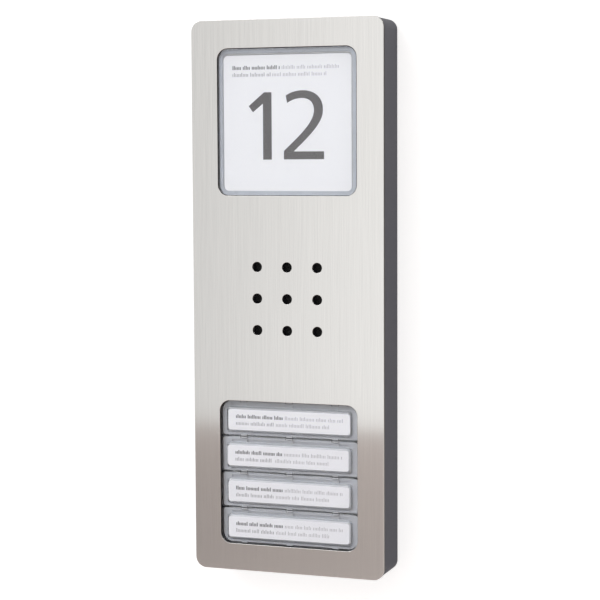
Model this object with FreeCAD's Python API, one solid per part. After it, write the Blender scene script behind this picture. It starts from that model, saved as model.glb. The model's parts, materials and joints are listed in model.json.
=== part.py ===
"""Door intercom panel: a steel-faced call panel with a lit house number, a speaker and four call buttons.

Millimetres. X runs right as seen from the front, Y runs into the wall and Z runs up. The origin is the
centre of the wall screw pattern, on the wall plane, so the panel's front face lies at y = -DEPTH.
Every function below makes one sub-part in its place, and main() writes each of them to parts/NODE.step.
"""

import FreeCAD
import Part

import math
import os

Vector = FreeCAD.Vector

# Overall size, and the depth of each layer from the wall plane
WIDTH = 99.0
HEIGHT = 272.7
DEPTH = 24.0
CORNER = 5.5
EDGE_BREAK = 0.15
PLATE = 2.0
TAPE = 0.3
GROOVE = 0.8
SEAL = 0.8
FRONT = -DEPTH
PLATE_BACK = FRONT + PLATE
TAPE_BACK = PLATE_BACK + TAPE
SHELL_FRONT = PLATE_BACK + GROOVE
FLOOR_OF_FRONT = TAPE_BACK + 2.1

# Housing shell and wall base
SHELL_INSET = 0.3
NECK_INSET = 1.0
SHELL_WALL = 2.2
SHELL_WIDTH = WIDTH - 2 * SHELL_INSET
SHELL_HEIGHT = HEIGHT - 2 * SHELL_INSET
INNER_WIDTH = SHELL_WIDTH - 2 * SHELL_WALL
INNER_HEIGHT = SHELL_HEIGHT - 2 * SHELL_WALL
BASE_GAP = 0.3
BASE_WIDTH = INNER_WIDTH - 2 * BASE_GAP
BASE_HEIGHT = INNER_HEIGHT - 2 * BASE_GAP
BASE_FLOOR = 2.5
BASE_RIM = 1.6
BASE_RIM_DEPTH = 7.5
WALL_SCREW_X = 60.0
WALL_SCREW_Z = 220.0
WALL_SCREW_HOLE = 2.25
CABLE_ENTRY = (30.0, 20.0)
CABLE_ENTRY_Z = 88.0

# The two square windows in the plate, and the pockets behind them
WINDOW = 72.0
WINDOW_CORNER = 5.5
NUMBER_Z = 86.5
BUTTONS_Z = -87.05
POCKET_WALL = 1.5
POCKET = WINDOW + 2 * POCKET_WALL
NUMBER_POCKET_BACK = -13.0
BUTTON_POCKET_BACK = -12.0

# Speaker and its grid of holes
HOLE = 2.5
HOLE_PITCH = 15.6
MESH = 42.0
GASKET_WALL = 2.4
SPEAKER = 57.0
SPEAKER_SCREW = 24.2
SPEAKER_FLANGE = -18.3
MAGNET_BACK = -8.0

# House number window
COVER = 71.4
COVER_SKIRT = 1.4
COVER_FRONT = FRONT + 0.2
LABEL_FRONT = FRONT + 2.0
LABEL_THICK = 0.4
NUMBER_LABEL = 66.0
NUMBER_LABEL_DROP = 0.6
LIGHT_BOX = 68.0
LIGHT_BOX_WALL = 1.2
GUIDE = 65.2
LED_BOARD = 58.0

# Call buttons
BUTTONS = 4
BUTTON_PITCH = 18.0
CAP = (71.4, 17.6)
CAP_CORNER = 1.5
PAD = (65.5, 12.8)
PAD_CORNER = 1.8
PAD_BEVEL = 0.8
PAD_DROP = 0.55
CAP_BASE_FRONT = FRONT + 1.6
CAP_BACK = FRONT + 3.1
NAME_LABEL = (63.4, 10.3)
NAME_CORNER = 1.0
NAME_POCKET = (64.4, 10.7)
NAME_SLIPS = (0.0, -0.45, -0.25, -0.25)
NAME_FRONT = FRONT + 1.1
LUG_XS = (-24.0, 0.0, 24.0)
LUG = 3.3
SLOT_DEPTH = 0.6
CARRIER = (70.6, 16.8)
CARRIER_BACK = CAP_BACK + 1.5
POST_X = 27.0
POST = 2.0
LEG_X = 32.6
LEG = (1.2, 5.0)
TRAVEL = 1.2
RUN = 0.1

# Guide frame behind the buttons
FRAME_BACK = BUTTON_POCKET_BACK + 2.0
SLEEVE = 3.5
SLEEVE_FRONT = BUTTON_POCKET_BACK - 2.5
SPRING_WIRE = 0.25
SPRING_TURNS = 4
PLUNGER = 2.5
PLUNGER_END = BUTTON_POCKET_BACK - 0.3

# Main board, its posts and screws
BOARD_X = 88.8
BOARD_BOTTOM = -122.0
BOARD_TOP = 44.0
BOARD_FRONT = -6.6
BOARD = 1.6
POST_COLUMN_X = 41.2
COLUMN = 2.8
PILOT = 1.1
BOARD_SCREWS_Z = (-114.0, -36.0, 38.0)
EAR = (88.4, 7.0)
EAR_OFFSETS = (-13.5, 13.5)
NUMBER_EAR_OFFSETS = (-25.0, 25.0)
SWITCH = 6.0
SWITCH_FRONT = -9.9
STEM = 1.75
BUS_HEADER = 3.8
STEM_FRONT = PLUNGER_END + RUN

# Bottom lock, top hooks and microphone
LOCK_Y = -8.0
LOCK_SCREW = 1.5
HOOK_X = 25.0
MICROPHONE_X = 24.0
MICROPHONE_Y = -14.0
TRIMMER = (30.0, 20.0)


def outline(width, height, radii, x, y, z):
    """Closed face in the plane at y: a rectangle whose corners have the radii (top left, top right, bottom
    right, bottom left), with its centre at x, z."""
    left, right = x - width / 2, x + width / 2
    bottom, top = z - height / 2, z + height / 2
    # Each corner: its point, then the directions along the edge that arrives and the edge that leaves
    corners = [
        ((left, top), (0, 1), (1, 0), radii[0]),
        ((right, top), (1, 0), (0, -1), radii[1]),
        ((right, bottom), (0, -1), (-1, 0), radii[2]),
        ((left, bottom), (-1, 0), (0, 1), radii[3]),
    ]
    edges = []
    first = last = None
    for (cx, cz), arriving, leaving, radius in corners:
        start = Vector(cx - arriving[0] * radius, y, cz - arriving[1] * radius)
        end = Vector(cx + leaving[0] * radius, y, cz + leaving[1] * radius)
        if last is not None:
            edges.append(Part.LineSegment(last, start).toShape())
        else:
            first = start
        if radius > 0:
            reach = radius * (1 - math.sqrt(0.5))
            middle = Vector(
                cx + (leaving[0] - arriving[0]) * reach,
                y,
                cz + (leaving[1] - arriving[1]) * reach,
            )
            edges.append(Part.Arc(start, middle, end).toShape())
        last = end
    edges.append(Part.LineSegment(last, first).toShape())
    return Part.Face(Part.Wire(edges))


def slab(width, height, radius, front, back, x=0.0, z=0.0):
    """Plate between y = front and y = back with rounded corners: one radius, or one for each corner."""
    radii = radius if isinstance(radius, tuple) else (radius,) * 4
    face = outline(width, height, radii, x, front, z)
    return face.extrude(Vector(0, back - front, 0))


def tube_slab(width, height, radius, wall, front, back, x=0.0, z=0.0):
    """Rectangular ring with rounded corners and an even wall."""
    outer = slab(width, height, radius, front, back, x, z)
    inner_radius = max(radius - wall, 0.3)
    inner = slab(width - 2 * wall, height - 2 * wall, inner_radius, front - 1, back + 1, x, z)
    return outer.cut(inner)


def block(x, y, z):
    """Plain box from three (low, high) pairs."""
    size = [high - low for low, high in (x, y, z)]
    return Part.makeBox(*size, Vector(x[0], y[0], z[0]))


def rod(radius, front, back, x, z):
    """Cylinder along Y between y = front and y = back."""
    return Part.makeCylinder(radius, back - front, Vector(x, front, z), Vector(0, 1, 0))


def upright(radius, bottom, top, x, y):
    """Cylinder along Z."""
    return Part.makeCylinder(radius, top - bottom, Vector(x, y, bottom), Vector(0, 0, 1))


def turned(profile, x, z):
    """Solid of revolution about the line along Y through x, z, from (radius, y) points."""
    points = [Vector(x + radius, y, z) for radius, y in profile]
    face = Part.Face(Part.makePolygon(points + points[:1]))
    return face.revolve(Vector(x, 0, z), Vector(0, 1, 0), 360)


def join(shapes):
    """One solid from overlapping shapes."""
    whole = shapes[0]
    for shape in shapes[1:]:
        whole = whole.fuse(shape)
    return whole.removeSplitter()


def without(shape, cutters):
    """The shape with every cutter taken out of it."""
    for cutter in cutters:
        shape = shape.cut(cutter)
    return shape


def screw(head, head_length, shank, shank_length, seat, x, z):
    """Pan-head screw that points to -Y, with its head's underside at y = seat and a cross recess."""
    body = join([
        rod(head, seat, seat + head_length, x, z),
        rod(shank, seat - shank_length, seat, x, z),
    ])
    depth = head_length * 0.6
    arm, half = head * 0.62, head * 0.13
    back = (seat + head_length - depth, seat + head_length + 1)
    cross = [
        block((x - arm, x + arm), back, (z - half, z + half)),
        block((x - half, x + half), back, (z - arm, z + arm)),
    ]
    return without(body, cross)


def wire(points, radius):
    """Insulated wire through the points, with a ball at each bend."""
    pieces = []
    for start, end in zip(points, points[1:]):
        a, b = Vector(*start), Vector(*end)
        pieces.append(Part.makeCylinder(radius, a.distanceToPoint(b), a, b - a))
    for point in points[1:-1]:
        pieces.append(Part.makeSphere(radius, Vector(*point)))
    return join(pieces)


def grid(pitch, count=3):
    """Offsets of a square grid of count by count places about zero."""
    half = (count - 1) / 2
    return [((i - half) * pitch, (k - half) * pitch) for i in range(count) for k in range(count)]


def button_z(number):
    """Centre height of a call button, counted from 1 at the top."""
    return BUTTONS_Z + (BUTTONS + 1 - 2 * number) / 2 * BUTTON_PITCH


def both(value):
    """A distance to each side of the middle."""
    return (-value, value)


def ear_places(centre, offsets):
    """Screw places on the ears at each side of a window pocket."""
    return [(x, centre + offset) for x in both(POST_COLUMN_X) for offset in offsets]


def board_places():
    """Screw places of the main board."""
    return [(x, z) for x in both(POST_COLUMN_X) for z in BOARD_SCREWS_Z]


def front_plate():
    """Brushed steel face with two square windows and a grid of speaker holes, edges broken at the front."""
    plate = slab(WIDTH, HEIGHT, CORNER, FRONT, PLATE_BACK)
    rim = [
        edge
        for edge in plate.Edges
        if all(abs(vertex.Y - FRONT) < 0.01 for vertex in edge.Vertexes)
    ]
    plate = plate.makeFillet(EDGE_BREAK, rim)
    openings = [
        slab(WINDOW, WINDOW, WINDOW_CORNER, FRONT - 1, PLATE_BACK + 1, z=z)
        for z in (NUMBER_Z, BUTTONS_Z)
    ]
    holes = [rod(HOLE, FRONT - 1, PLATE_BACK + 1, x, z) for x, z in grid(HOLE_PITCH)]
    return without(plate, openings + holes)


def plate_bond_tape():
    """Foam tape that holds the plate on the housing's front."""
    inset = NECK_INSET + 0.6
    tape = slab(WIDTH - 2 * inset, HEIGHT - 2 * inset, CORNER - inset, PLATE_BACK, TAPE_BACK)
    cuts = [
        slab(WINDOW + 2, WINDOW + 2, WINDOW_CORNER + 1, PLATE_BACK - 1, TAPE_BACK + 1, z=z)
        for z in (NUMBER_Z, BUTTONS_Z)
    ]
    cuts.append(slab(MESH, MESH, 2.0, PLATE_BACK - 1, TAPE_BACK + 1))
    return without(tape, cuts)


def housing_shell():
    """Open-backed shell with a stepped neck that leaves a shadow groove behind the plate."""
    shell = join([
        slab(SHELL_WIDTH, SHELL_HEIGHT, CORNER - SHELL_INSET, SHELL_FRONT, -SEAL),
        slab(
            WIDTH - 2 * NECK_INSET,
            HEIGHT - 2 * NECK_INSET,
            CORNER - NECK_INSET,
            TAPE_BACK,
            SHELL_FRONT,
        ),
    ])
    return shell.cut(slab(INNER_WIDTH, INNER_HEIGHT, 3.0, FLOOR_OF_FRONT, 1.0))


def front_housing():
    """Housing shell with window pockets, lock seat, hook ledges and microphone port."""
    pockets = [
        tube_slab(POCKET, POCKET, 7.0, POCKET_WALL, FLOOR_OF_FRONT, back, z=z)
        for z, back in ((NUMBER_Z, NUMBER_POCKET_BACK), (BUTTONS_Z, BUTTON_POCKET_BACK))
    ]
    inner_bottom = -INNER_HEIGHT / 2
    inner_top = INNER_HEIGHT / 2
    lock_seat = block((-7, 7), (-12, -4), (inner_bottom - 0.5, inner_bottom + 2.2))
    ledges = [
        block((x - 6, x + 6), (-6.5, -4.5), (inner_top - 4, inner_top + 0.5))
        for x in both(HOOK_X)
    ]
    boot_ring = upright(5.4, inner_bottom - 0.5, inner_bottom + 3.5, MICROPHONE_X, MICROPHONE_Y)
    body = join([housing_shell(), lock_seat, boot_ring] + pockets + ledges)

    cuts = [
        slab(WINDOW, WINDOW, WINDOW_CORNER, FRONT, BUTTON_POCKET_BACK + 1, z=z)
        for z in (NUMBER_Z, BUTTONS_Z)
    ]
    cuts += [rod(HOLE, FRONT, FLOOR_OF_FRONT + 0.5, x, z) for x, z in grid(HOLE_PITCH)]
    cuts += [
        rod(PILOT, SPEAKER_FLANGE - 2.5, FLOOR_OF_FRONT + 1, x, z)
        for x in both(SPEAKER_SCREW)
        for z in both(SPEAKER_SCREW)
    ]
    cuts += [snap_window(side) for side in (-1, 1)]
    outside = -SHELL_HEIGHT / 2
    cuts.append(upright(3.0, outside - 1, outside + 2.6, 0, LOCK_Y))
    cuts.append(upright(1.7, outside - 1, inner_bottom + 3, 0, LOCK_Y))
    cuts.append(upright(4.2, inner_bottom, inner_bottom + 6, MICROPHONE_X, MICROPHONE_Y))
    cuts.append(upright(1.0, outside - 1, inner_bottom + 1, MICROPHONE_X, MICROPHONE_Y))
    return without(body, cuts)


def snap_window(side):
    """Hole in a number pocket's side wall that a snap lug of the cover drops into."""
    low, high = sorted((side * (WINDOW / 2 - 0.5), side * (POCKET / 2 + 0.5)))
    return block((low, high), (-18.6, -17.2), (NUMBER_Z - 4.2, NUMBER_Z + 4.2))


def threaded_standoffs():
    """Brass standoffs set on the housing's front wall for the board, the speaker and both pockets' ears."""
    places = [(BOARD_FRONT, 8, x, z) for x, z in board_places()]
    places += [(NUMBER_POCKET_BACK, 6, x, z) for x, z in ear_places(NUMBER_Z, NUMBER_EAR_OFFSETS)]
    places += [(BUTTON_POCKET_BACK, 6, x, z) for x, z in ear_places(BUTTONS_Z, EAR_OFFSETS)]
    places += [
        (SPEAKER_FLANGE, 2.5, x, z) for x in both(SPEAKER_SCREW) for z in both(SPEAKER_SCREW)
    ]
    standoffs = []
    for back, bore, x, z in places:
        column = rod(COLUMN, FLOOR_OF_FRONT, back, x, z)
        standoffs.append(column.cut(rod(PILOT, back - bore, back + 1, x, z)))
    return Part.makeCompound(standoffs)


def rear_seal():
    """Rubber ring between the housing's back edge and the wall."""
    return tube_slab(SHELL_WIDTH, SHELL_HEIGHT, CORNER - SHELL_INSET, SHELL_WALL, -SEAL, 0.0)


def wall_base():
    """Tray screwed to the wall: screw holes, cable entry, hooks for the housing and the lock's lug."""
    tray = join([
        slab(BASE_WIDTH, BASE_HEIGHT, 2.7, -BASE_FLOOR, 0.0),
        tube_slab(BASE_WIDTH, BASE_HEIGHT, 2.7, BASE_RIM, -BASE_RIM_DEPTH, -BASE_FLOOR + 0.5),
    ])
    top = BASE_HEIGHT / 2
    notches = [
        block((x - 7.5, x + 7.5), (-9, -BASE_FLOOR), (top - 3, top + 1)) for x in both(HOOK_X)
    ]
    notches.append(block((-8.5, 8.5), (-9, -BASE_FLOOR), (-top - 1, -top + 3)))
    tray = without(tray, notches)

    hooks = []
    for x in both(HOOK_X):
        hooks.append(block((x - 5, x + 5), (-9, -BASE_FLOOR + 0.5), (top - 6.6, top - 4.3)))
        hooks.append(block((x - 5, x + 5), (-9, -6.8), (top - 4.5, top - 0.6)))
    lug = block((-6, 6), (-11.5, -BASE_FLOOR + 0.5), (-top + 2.2, -top + 7.8))
    ribs = [
        block((x - 0.6, x + 0.6), (-BASE_FLOOR - 1.2, -BASE_FLOOR + 0.3), (-top + 12, top - 20))
        for x in both(38.0)
    ]
    tray = join([tray, lug] + hooks + ribs)

    cuts = [upright(2.3, -top + 1, -top + 7.3, 0, LOCK_Y)]
    for x in both(WALL_SCREW_X / 2):
        for z in both(WALL_SCREW_Z / 2):
            cuts.append(rod(WALL_SCREW_HOLE, -BASE_FLOOR - 1, 1.0, x, z))
            sink = [(0, -BASE_FLOOR - 0.5), (4.35, -BASE_FLOOR - 0.5), (4.35, -BASE_FLOOR), (2.25, -1.2)]
            cuts.append(turned(sink + [(0, -1.2)], x, z))
    cuts.append(slab(*CABLE_ENTRY, 2.0, -BASE_FLOOR - 1, 1.0, z=CABLE_ENTRY_Z))
    return without(tray, cuts)


def number_window():
    """Clear square cover with a skirt and a snap lug at each side."""
    cover = slab(COVER, COVER, WINDOW_CORNER - 0.3, COVER_FRONT, LABEL_FRONT, z=NUMBER_Z)
    skirt = tube_slab(
        COVER, COVER, WINDOW_CORNER - 0.3, COVER_SKIRT, LABEL_FRONT - 0.1, -17.0, z=NUMBER_Z
    )
    lugs = []
    for side in (-1, 1):
        low, high = sorted((side * (COVER / 2 - 0.4), side * (COVER / 2 + 1.0)))
        lugs.append(block((low, high), (-18.4, -17.4), (NUMBER_Z - 3.8, NUMBER_Z + 3.8)))
    return join([cover, skirt] + lugs)


def number_label():
    """White translucent film that carries the house number."""
    z = NUMBER_Z - NUMBER_LABEL_DROP
    return slab(NUMBER_LABEL, NUMBER_LABEL, 2.3, LABEL_FRONT, LABEL_FRONT + LABEL_THICK, z=z)


def number_light_guide():
    """Diffusing plate behind the number film."""
    front = LABEL_FRONT + LABEL_THICK
    return slab(GUIDE, GUIDE, 1.5, front, front + 3.0, z=NUMBER_Z)


def number_light_box():
    """White tray that holds the light guide and the lamp board, with two pairs of screw ears."""
    front = LABEL_FRONT + LABEL_THICK
    tray = tube_slab(
        LIGHT_BOX, LIGHT_BOX, 3.0, LIGHT_BOX_WALL, front, NUMBER_POCKET_BACK, z=NUMBER_Z
    )
    floor = slab(LIGHT_BOX, LIGHT_BOX, 3.0, NUMBER_POCKET_BACK - 1.2, NUMBER_POCKET_BACK, z=NUMBER_Z)
    flange = slab(POCKET, POCKET, 3.0, NUMBER_POCKET_BACK, NUMBER_POCKET_BACK + 1.2, z=NUMBER_Z)
    ears = [
        slab(EAR[0], EAR[1], 2.5, NUMBER_POCKET_BACK, NUMBER_POCKET_BACK + 1.2, z=NUMBER_Z + offset)
        for offset in NUMBER_EAR_OFFSETS
    ]
    props = [
        block((x - 1.6, x + 1.6), (front + 3.0, NUMBER_POCKET_BACK - 1.0), (z - 1.6, z + 1.6))
        for x in both(30.8)
        for z in (NUMBER_Z - 30.8, NUMBER_Z + 30.8)
    ]
    body = join([tray, floor, flange] + ears + props)
    cuts = [
        rod(PILOT + 0.15, NUMBER_POCKET_BACK - 1, NUMBER_POCKET_BACK + 2, x, z)
        for x, z in ear_places(NUMBER_Z, NUMBER_EAR_OFFSETS)
    ]
    cuts.append(slab(5.0, 3.0, 0.8, NUMBER_POCKET_BACK - 2, NUMBER_POCKET_BACK + 2, x=-26.0, z=56.0))
    return without(body, cuts)


def number_led_board():
    """Small board behind the light guide."""
    front = NUMBER_POCKET_BACK - 2.2
    return slab(LED_BOARD, LED_BOARD, 1.0, front, front + 1.0, z=NUMBER_Z)


def leds():
    """White lamps: nine behind the number, and two behind each call button."""
    number_front = NUMBER_POCKET_BACK - 3.0
    lamps = [
        slab(3.5, 2.8, 0.3, number_front, number_front + 0.8, x, NUMBER_Z + z)
        for x, z in grid(20.0)
    ]
    lamps += [
        slab(3.5, 2.8, 0.3, BOARD_FRONT - 0.8, BOARD_FRONT, x, button_z(number))
        for number in range(1, BUTTONS + 1)
        for x in both(14.0)
    ]
    return Part.makeCompound(lamps)


def case_screws():
    """Machine screws of the main board, the light box and the button guide frame."""
    places = [(BOARD_FRONT + BOARD, x, z) for x, z in board_places()]
    places += [
        (NUMBER_POCKET_BACK + 1.2, x, z) for x, z in ear_places(NUMBER_Z, NUMBER_EAR_OFFSETS)
    ]
    places += [(FRAME_BACK, x, z) for x, z in ear_places(BUTTONS_Z, EAR_OFFSETS)]
    return Part.makeCompound([screw(2.2, 1.3, PILOT, 6.0, seat, x, z) for seat, x, z in places])


def speaker_mesh():
    """Fine dust screen behind the speaker holes."""
    return slab(MESH, MESH, 2.0, FLOOR_OF_FRONT, FLOOR_OF_FRONT + 0.3)


def speaker_gasket():
    """Foam ring between the dust screen and the speaker."""
    return tube_slab(MESH, MESH, 2.5, GASKET_WALL, FLOOR_OF_FRONT + 0.3, SPEAKER_FLANGE)


def speaker_frame():
    """Pressed basket of the speaker, with four vents in its cone-shaped wall."""
    flange = slab(SPEAKER, SPEAKER, 5.0, SPEAKER_FLANGE, SPEAKER_FLANGE + 1.2)
    well = rod(24.0, SPEAKER_FLANGE - 1, SPEAKER_FLANGE + 2, 0, 0)
    basket = turned(
        [(24.0, -18.3), (26.0, -18.3), (26.0, -16.6), (15.0, -11.6), (7.5, -11.6), (7.5, -12.6),
         (14.4, -12.6), (24.0, -17.1)],
        0,
        0,
    )
    body = join([flange.cut(well), basket])
    vents = [
        rod(2.6, -18, -10, 18.6 * math.cos(turn), 18.6 * math.sin(turn))
        for turn in [math.radians(90 * quarter + 45) for quarter in range(4)]
    ]
    holes = [
        rod(PILOT + 0.15, SPEAKER_FLANGE - 1, SPEAKER_FLANGE + 2, x, z)
        for x in both(SPEAKER_SCREW)
        for z in both(SPEAKER_SCREW)
    ]
    return without(body, vents + holes)


def speaker_cone():
    """Paper cone with its rolled edge and dust cap."""
    return turned(
        [(23.7, -18.2), (23.7, -17.8), (21.5, -17.2), (19.5, -17.7), (7.2, -13.9), (7.2, -12.8),
         (6.6, -12.8), (6.6, -15.0), (3.5, -15.9), (0.0, -16.2), (0.0, -16.5), (3.6, -16.2),
         (7.0, -14.9), (19.5, -18.2), (21.5, -17.6)],
        0,
        0,
    )


def speaker_magnet():
    """Ring magnet with its steel pole plates."""
    magnet = turned(
        [(6.0, -11.6), (14.5, -11.6), (14.5, -10.8), (15.0, -10.8), (15.0, -8.9), (14.5, -8.9),
         (14.5, MAGNET_BACK), (0.0, MAGNET_BACK), (0.0, -12.6), (5.6, -12.6), (5.6, -9.2), (6.0, -9.2)],
        0,
        0,
    )
    return magnet


def speaker_screws():
    """Four screws that hold the speaker's flange."""
    seat = SPEAKER_FLANGE + 1.2
    places = [(x, z) for x in both(SPEAKER_SCREW) for z in both(SPEAKER_SCREW)]
    return Part.makeCompound([screw(2.2, 1.3, PILOT, 3.4, seat, x, z) for x, z in places])


def button_guide_frame():
    """Frame that guides the four button carriers: sleeves for their posts, slots for their snap legs and
    holes for their plungers."""
    plate = slab(POCKET, POCKET, 3.0, BUTTON_POCKET_BACK, FRAME_BACK, z=BUTTONS_Z)
    ears = [
        slab(EAR[0], EAR[1], 2.5, BUTTON_POCKET_BACK, FRAME_BACK, z=BUTTONS_Z + offset)
        for offset in EAR_OFFSETS
    ]
    places = [(x, button_z(number)) for number in range(1, BUTTONS + 1) for x in both(POST_X)]
    sleeves = [rod(SLEEVE, SLEEVE_FRONT, BUTTON_POCKET_BACK + 0.5, x, z) for x, z in places]
    body = join([plate] + ears + sleeves)

    cuts = [rod(POST + RUN, SLEEVE_FRONT - 1, FRAME_BACK + 1, x, z) for x, z in places]
    for number in range(1, BUTTONS + 1):
        z = button_z(number)
        cuts.append(rod(3.25, BUTTON_POCKET_BACK - 1, FRAME_BACK + 1, 0, z))
        for x in both(LEG_X):
            width, height = LEG[0] + 0.6, LEG[1] + 0.6
            cuts.append(slab(width, height, 0.2, BUTTON_POCKET_BACK - 1, FRAME_BACK + 1, x, z))
        for x in both(14.0):
            cuts.append(slab(9.0, 7.0, 1.5, BUTTON_POCKET_BACK - 1, FRAME_BACK + 1, x, z))
    cuts += [
        rod(PILOT + 0.15, BUTTON_POCKET_BACK - 1, FRAME_BACK + 1, x, z)
        for x, z in ear_places(BUTTONS_Z, EAR_OFFSETS)
    ]
    return without(body, cuts)


def cap_corners(number, inner, outer):
    """Corner radii of a button: large where it meets the window's corners, small elsewhere."""
    top = outer if number == 1 else inner
    bottom = outer if number == BUTTONS else inner
    return (top, top, bottom, bottom)


def button_cap(number):
    """Clear cap: a flat border and a raised, bevelled pad with the name label's pocket behind it."""
    z = button_z(number)
    corners = cap_corners(number, CAP_CORNER, WINDOW_CORNER - 0.3)
    border = slab(*CAP, corners, CAP_BASE_FRONT, CAP_BACK, z=z)
    pad_z = z - PAD_DROP
    pad = slab(*PAD, PAD_CORNER, FRONT, CAP_BASE_FRONT + 0.2, z=pad_z)
    rim = [
        edge
        for edge in pad.Edges
        if all(abs(vertex.Y - FRONT) < 0.01 for vertex in edge.Vertexes)
    ]
    pad = pad.makeChamfer(PAD_BEVEL, rim)
    pocket = slab(*NAME_POCKET, 0.7, NAME_FRONT, CAP_BACK + 1, z=pad_z)
    notches = []
    for x in LUG_XS:
        for side in (-1, 1):
            low, high = sorted((z + side * (CAP[1] / 2 - 0.7), z + side * (CAP[1] / 2 + 1)))
            across = (x - LUG / 2 - RUN, x + LUG / 2 + RUN)
            notches.append(block(across, (FRONT, CAP_BACK + 1), (low, high)))
    return without(join([border, pad]), [pocket] + notches)


def name_label(number):
    """Paper name strip under a cap's pad, slipped a little to one side in its pocket."""
    x, z = NAME_SLIPS[number - 1], button_z(number) - PAD_DROP
    return slab(*NAME_LABEL, NAME_CORNER, NAME_FRONT, NAME_FRONT + LABEL_THICK, x=x, z=z)


def carrier_slots():
    """Ranges of x of the slots between the lugs of a carrier."""
    inner = [(a + LUG / 2, b - LUG / 2) for a, b in zip(LUG_XS, LUG_XS[1:])]
    end = LUG_XS[-1] + LUG / 2
    return [(-end - 5.0, -end)] + inner + [(end, end + 5.0)]


def button_carrier(number):
    """Translucent carrier under a cap: platform, clip lugs, two guide posts, a plunger and two snap legs."""
    z = button_z(number)
    corners = cap_corners(number, CAP_CORNER - 0.3, WINDOW_CORNER - 0.7)
    plate = slab(*CARRIER, corners, CAP_BACK, CARRIER_BACK, z=z)
    platform = slab(*NAME_LABEL, NAME_CORNER, NAME_FRONT + LABEL_THICK, CAP_BACK + 0.3, z=z - PAD_DROP)
    pieces = [plate, platform]
    for x in LUG_XS:
        for side in (-1, 1):
            low, high = sorted((z + side * (CAP[1] / 2 - 0.6), z + side * (CAP[1] / 2 - 0.1)))
            across = (x - LUG / 2, x + LUG / 2)
            pieces.append(block(across, (CAP_BASE_FRONT + 0.3, CARRIER_BACK), (low, high)))
    pieces += [rod(POST, CARRIER_BACK - 0.3, FRAME_BACK + 0.4, x, z) for x in both(POST_X)]
    pieces.append(rod(PLUNGER, CARRIER_BACK - 0.3, PLUNGER_END, 0, z))
    for side in (-1, 1):
        x = side * LEG_X
        half_x, half_z = LEG[0] / 2, LEG[1] / 2
        tall = (z - half_z, z + half_z)
        pieces.append(block((x - half_x, x + half_x), (CARRIER_BACK - 0.3, FRAME_BACK + 1), tall))
        low, high = sorted((x, x + side * (half_x + 0.9)))
        pieces.append(block((low, high), (FRAME_BACK + RUN, FRAME_BACK + 1), tall))
    slots = [
        block(across, (CAP_BACK - 0.1, CAP_BACK + SLOT_DEPTH), (z + 6.1, z + 7.3))
        for across in carrier_slots()
    ]
    return without(join(pieces), slots)


def return_springs(number):
    """Two coil springs of a button, round its guide posts."""
    length = SLEEVE_FRONT - CARRIER_BACK - 2 * SPRING_WIRE
    mean = POST + 0.45 + SPRING_WIRE
    helix = Part.makeLongHelix(length / SPRING_TURNS, length, mean)
    circle = Part.Circle(Vector(mean, 0, 0), Vector(0, 1, 0), SPRING_WIRE).toShape()
    coil = Part.Wire(helix.Edges).makePipeShell([Part.Wire([circle])], True, True)
    coil.rotate(Vector(0, 0, 0), Vector(1, 0, 0), -90)
    springs = []
    for x in both(POST_X):
        spring = coil.copy()
        spring.translate(Vector(x, CARRIER_BACK + SPRING_WIRE, button_z(number)))
        springs.append(spring)
    return Part.makeCompound(springs)


def key_switches():
    """Four switch bodies on the main board, each open at the front for its stem."""
    bodies = []
    for number in range(1, BUTTONS + 1):
        z = button_z(number)
        body = slab(SWITCH, SWITCH, 0.4, SWITCH_FRONT, BOARD_FRONT, z=z)
        bodies.append(body.cut(rod(STEM + RUN, SWITCH_FRONT - 1, SWITCH_FRONT + 2.2, 0, z)))
    return Part.makeCompound(bodies)


def key_stem(number):
    """Stem of a key switch, just behind its button's plunger."""
    return rod(STEM, STEM_FRONT, SWITCH_FRONT + 0.6, 0, button_z(number))


def main_board():
    """Printed circuit board with its screw holes."""
    board = slab(
        BOARD_X,
        BOARD_TOP - BOARD_BOTTOM,
        2.0,
        BOARD_FRONT,
        BOARD_FRONT + BOARD,
        z=(BOARD_TOP + BOARD_BOTTOM) / 2,
    )
    holes = [
        rod(PILOT + 0.3, BOARD_FRONT - 1, BOARD_FRONT + BOARD + 1, x, z) for x, z in board_places()
    ]
    return without(board, holes)


def processor_chip():
    """Square chip with legs on four sides."""
    x0, z0, half = -8.0, -38.0, 5.0
    body = slab(2 * half, 2 * half, 0.2, BOARD_FRONT - 1.4, BOARD_FRONT - 0.2, x0, z0)
    pieces = [body]
    for step in range(-3, 4):
        offset = step * 1.2
        leg = (BOARD_FRONT - 0.5, BOARD_FRONT)
        for side in (-1, 1):
            low, high = sorted((side * (half - 0.3), side * (half + 1.0)))
            across = (offset - 0.25, offset + 0.25)
            pieces.append(block((x0 + low, x0 + high), leg, (z0 + across[0], z0 + across[1])))
            pieces.append(block((x0 + across[0], x0 + across[1]), leg, (z0 + low, z0 + high)))
    return join(pieces)


def capacitors():
    """Two upright electrolytic capacitors."""
    return Part.makeCompound([rod(4.0, BOARD_FRONT - 10, BOARD_FRONT, x, -38.0) for x in (16.0, 26.5)])


def door_relay():
    """Relay that works the door opener."""
    return slab(12.5, 7.5, 0.4, BOARD_FRONT - 10, BOARD_FRONT, -29.5, -38.0)


def connector(width, height, depth, x, z):
    """Pin header in a shroud that opens to the front."""
    body = slab(width, height, 0.3, BOARD_FRONT - depth, BOARD_FRONT, x, z)
    return body.cut(slab(width - 1.6, height - 1.6, 0.2, BOARD_FRONT - depth - 1, BOARD_FRONT - 2, x, z))


def bus_connector():
    """Header for the ribbon from the terminal block."""
    return connector(20.0, 6.0, BUS_HEADER, 0.0, 40.0)


def lead_connectors():
    """Two small headers: one for the speaker's leads and one for the number lamp's."""
    return Part.makeCompound([connector(7.0, 5.0, 5.0, x, z) for x, z in ((34.0, -18.0), (-26.0, 36.0))])


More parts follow.
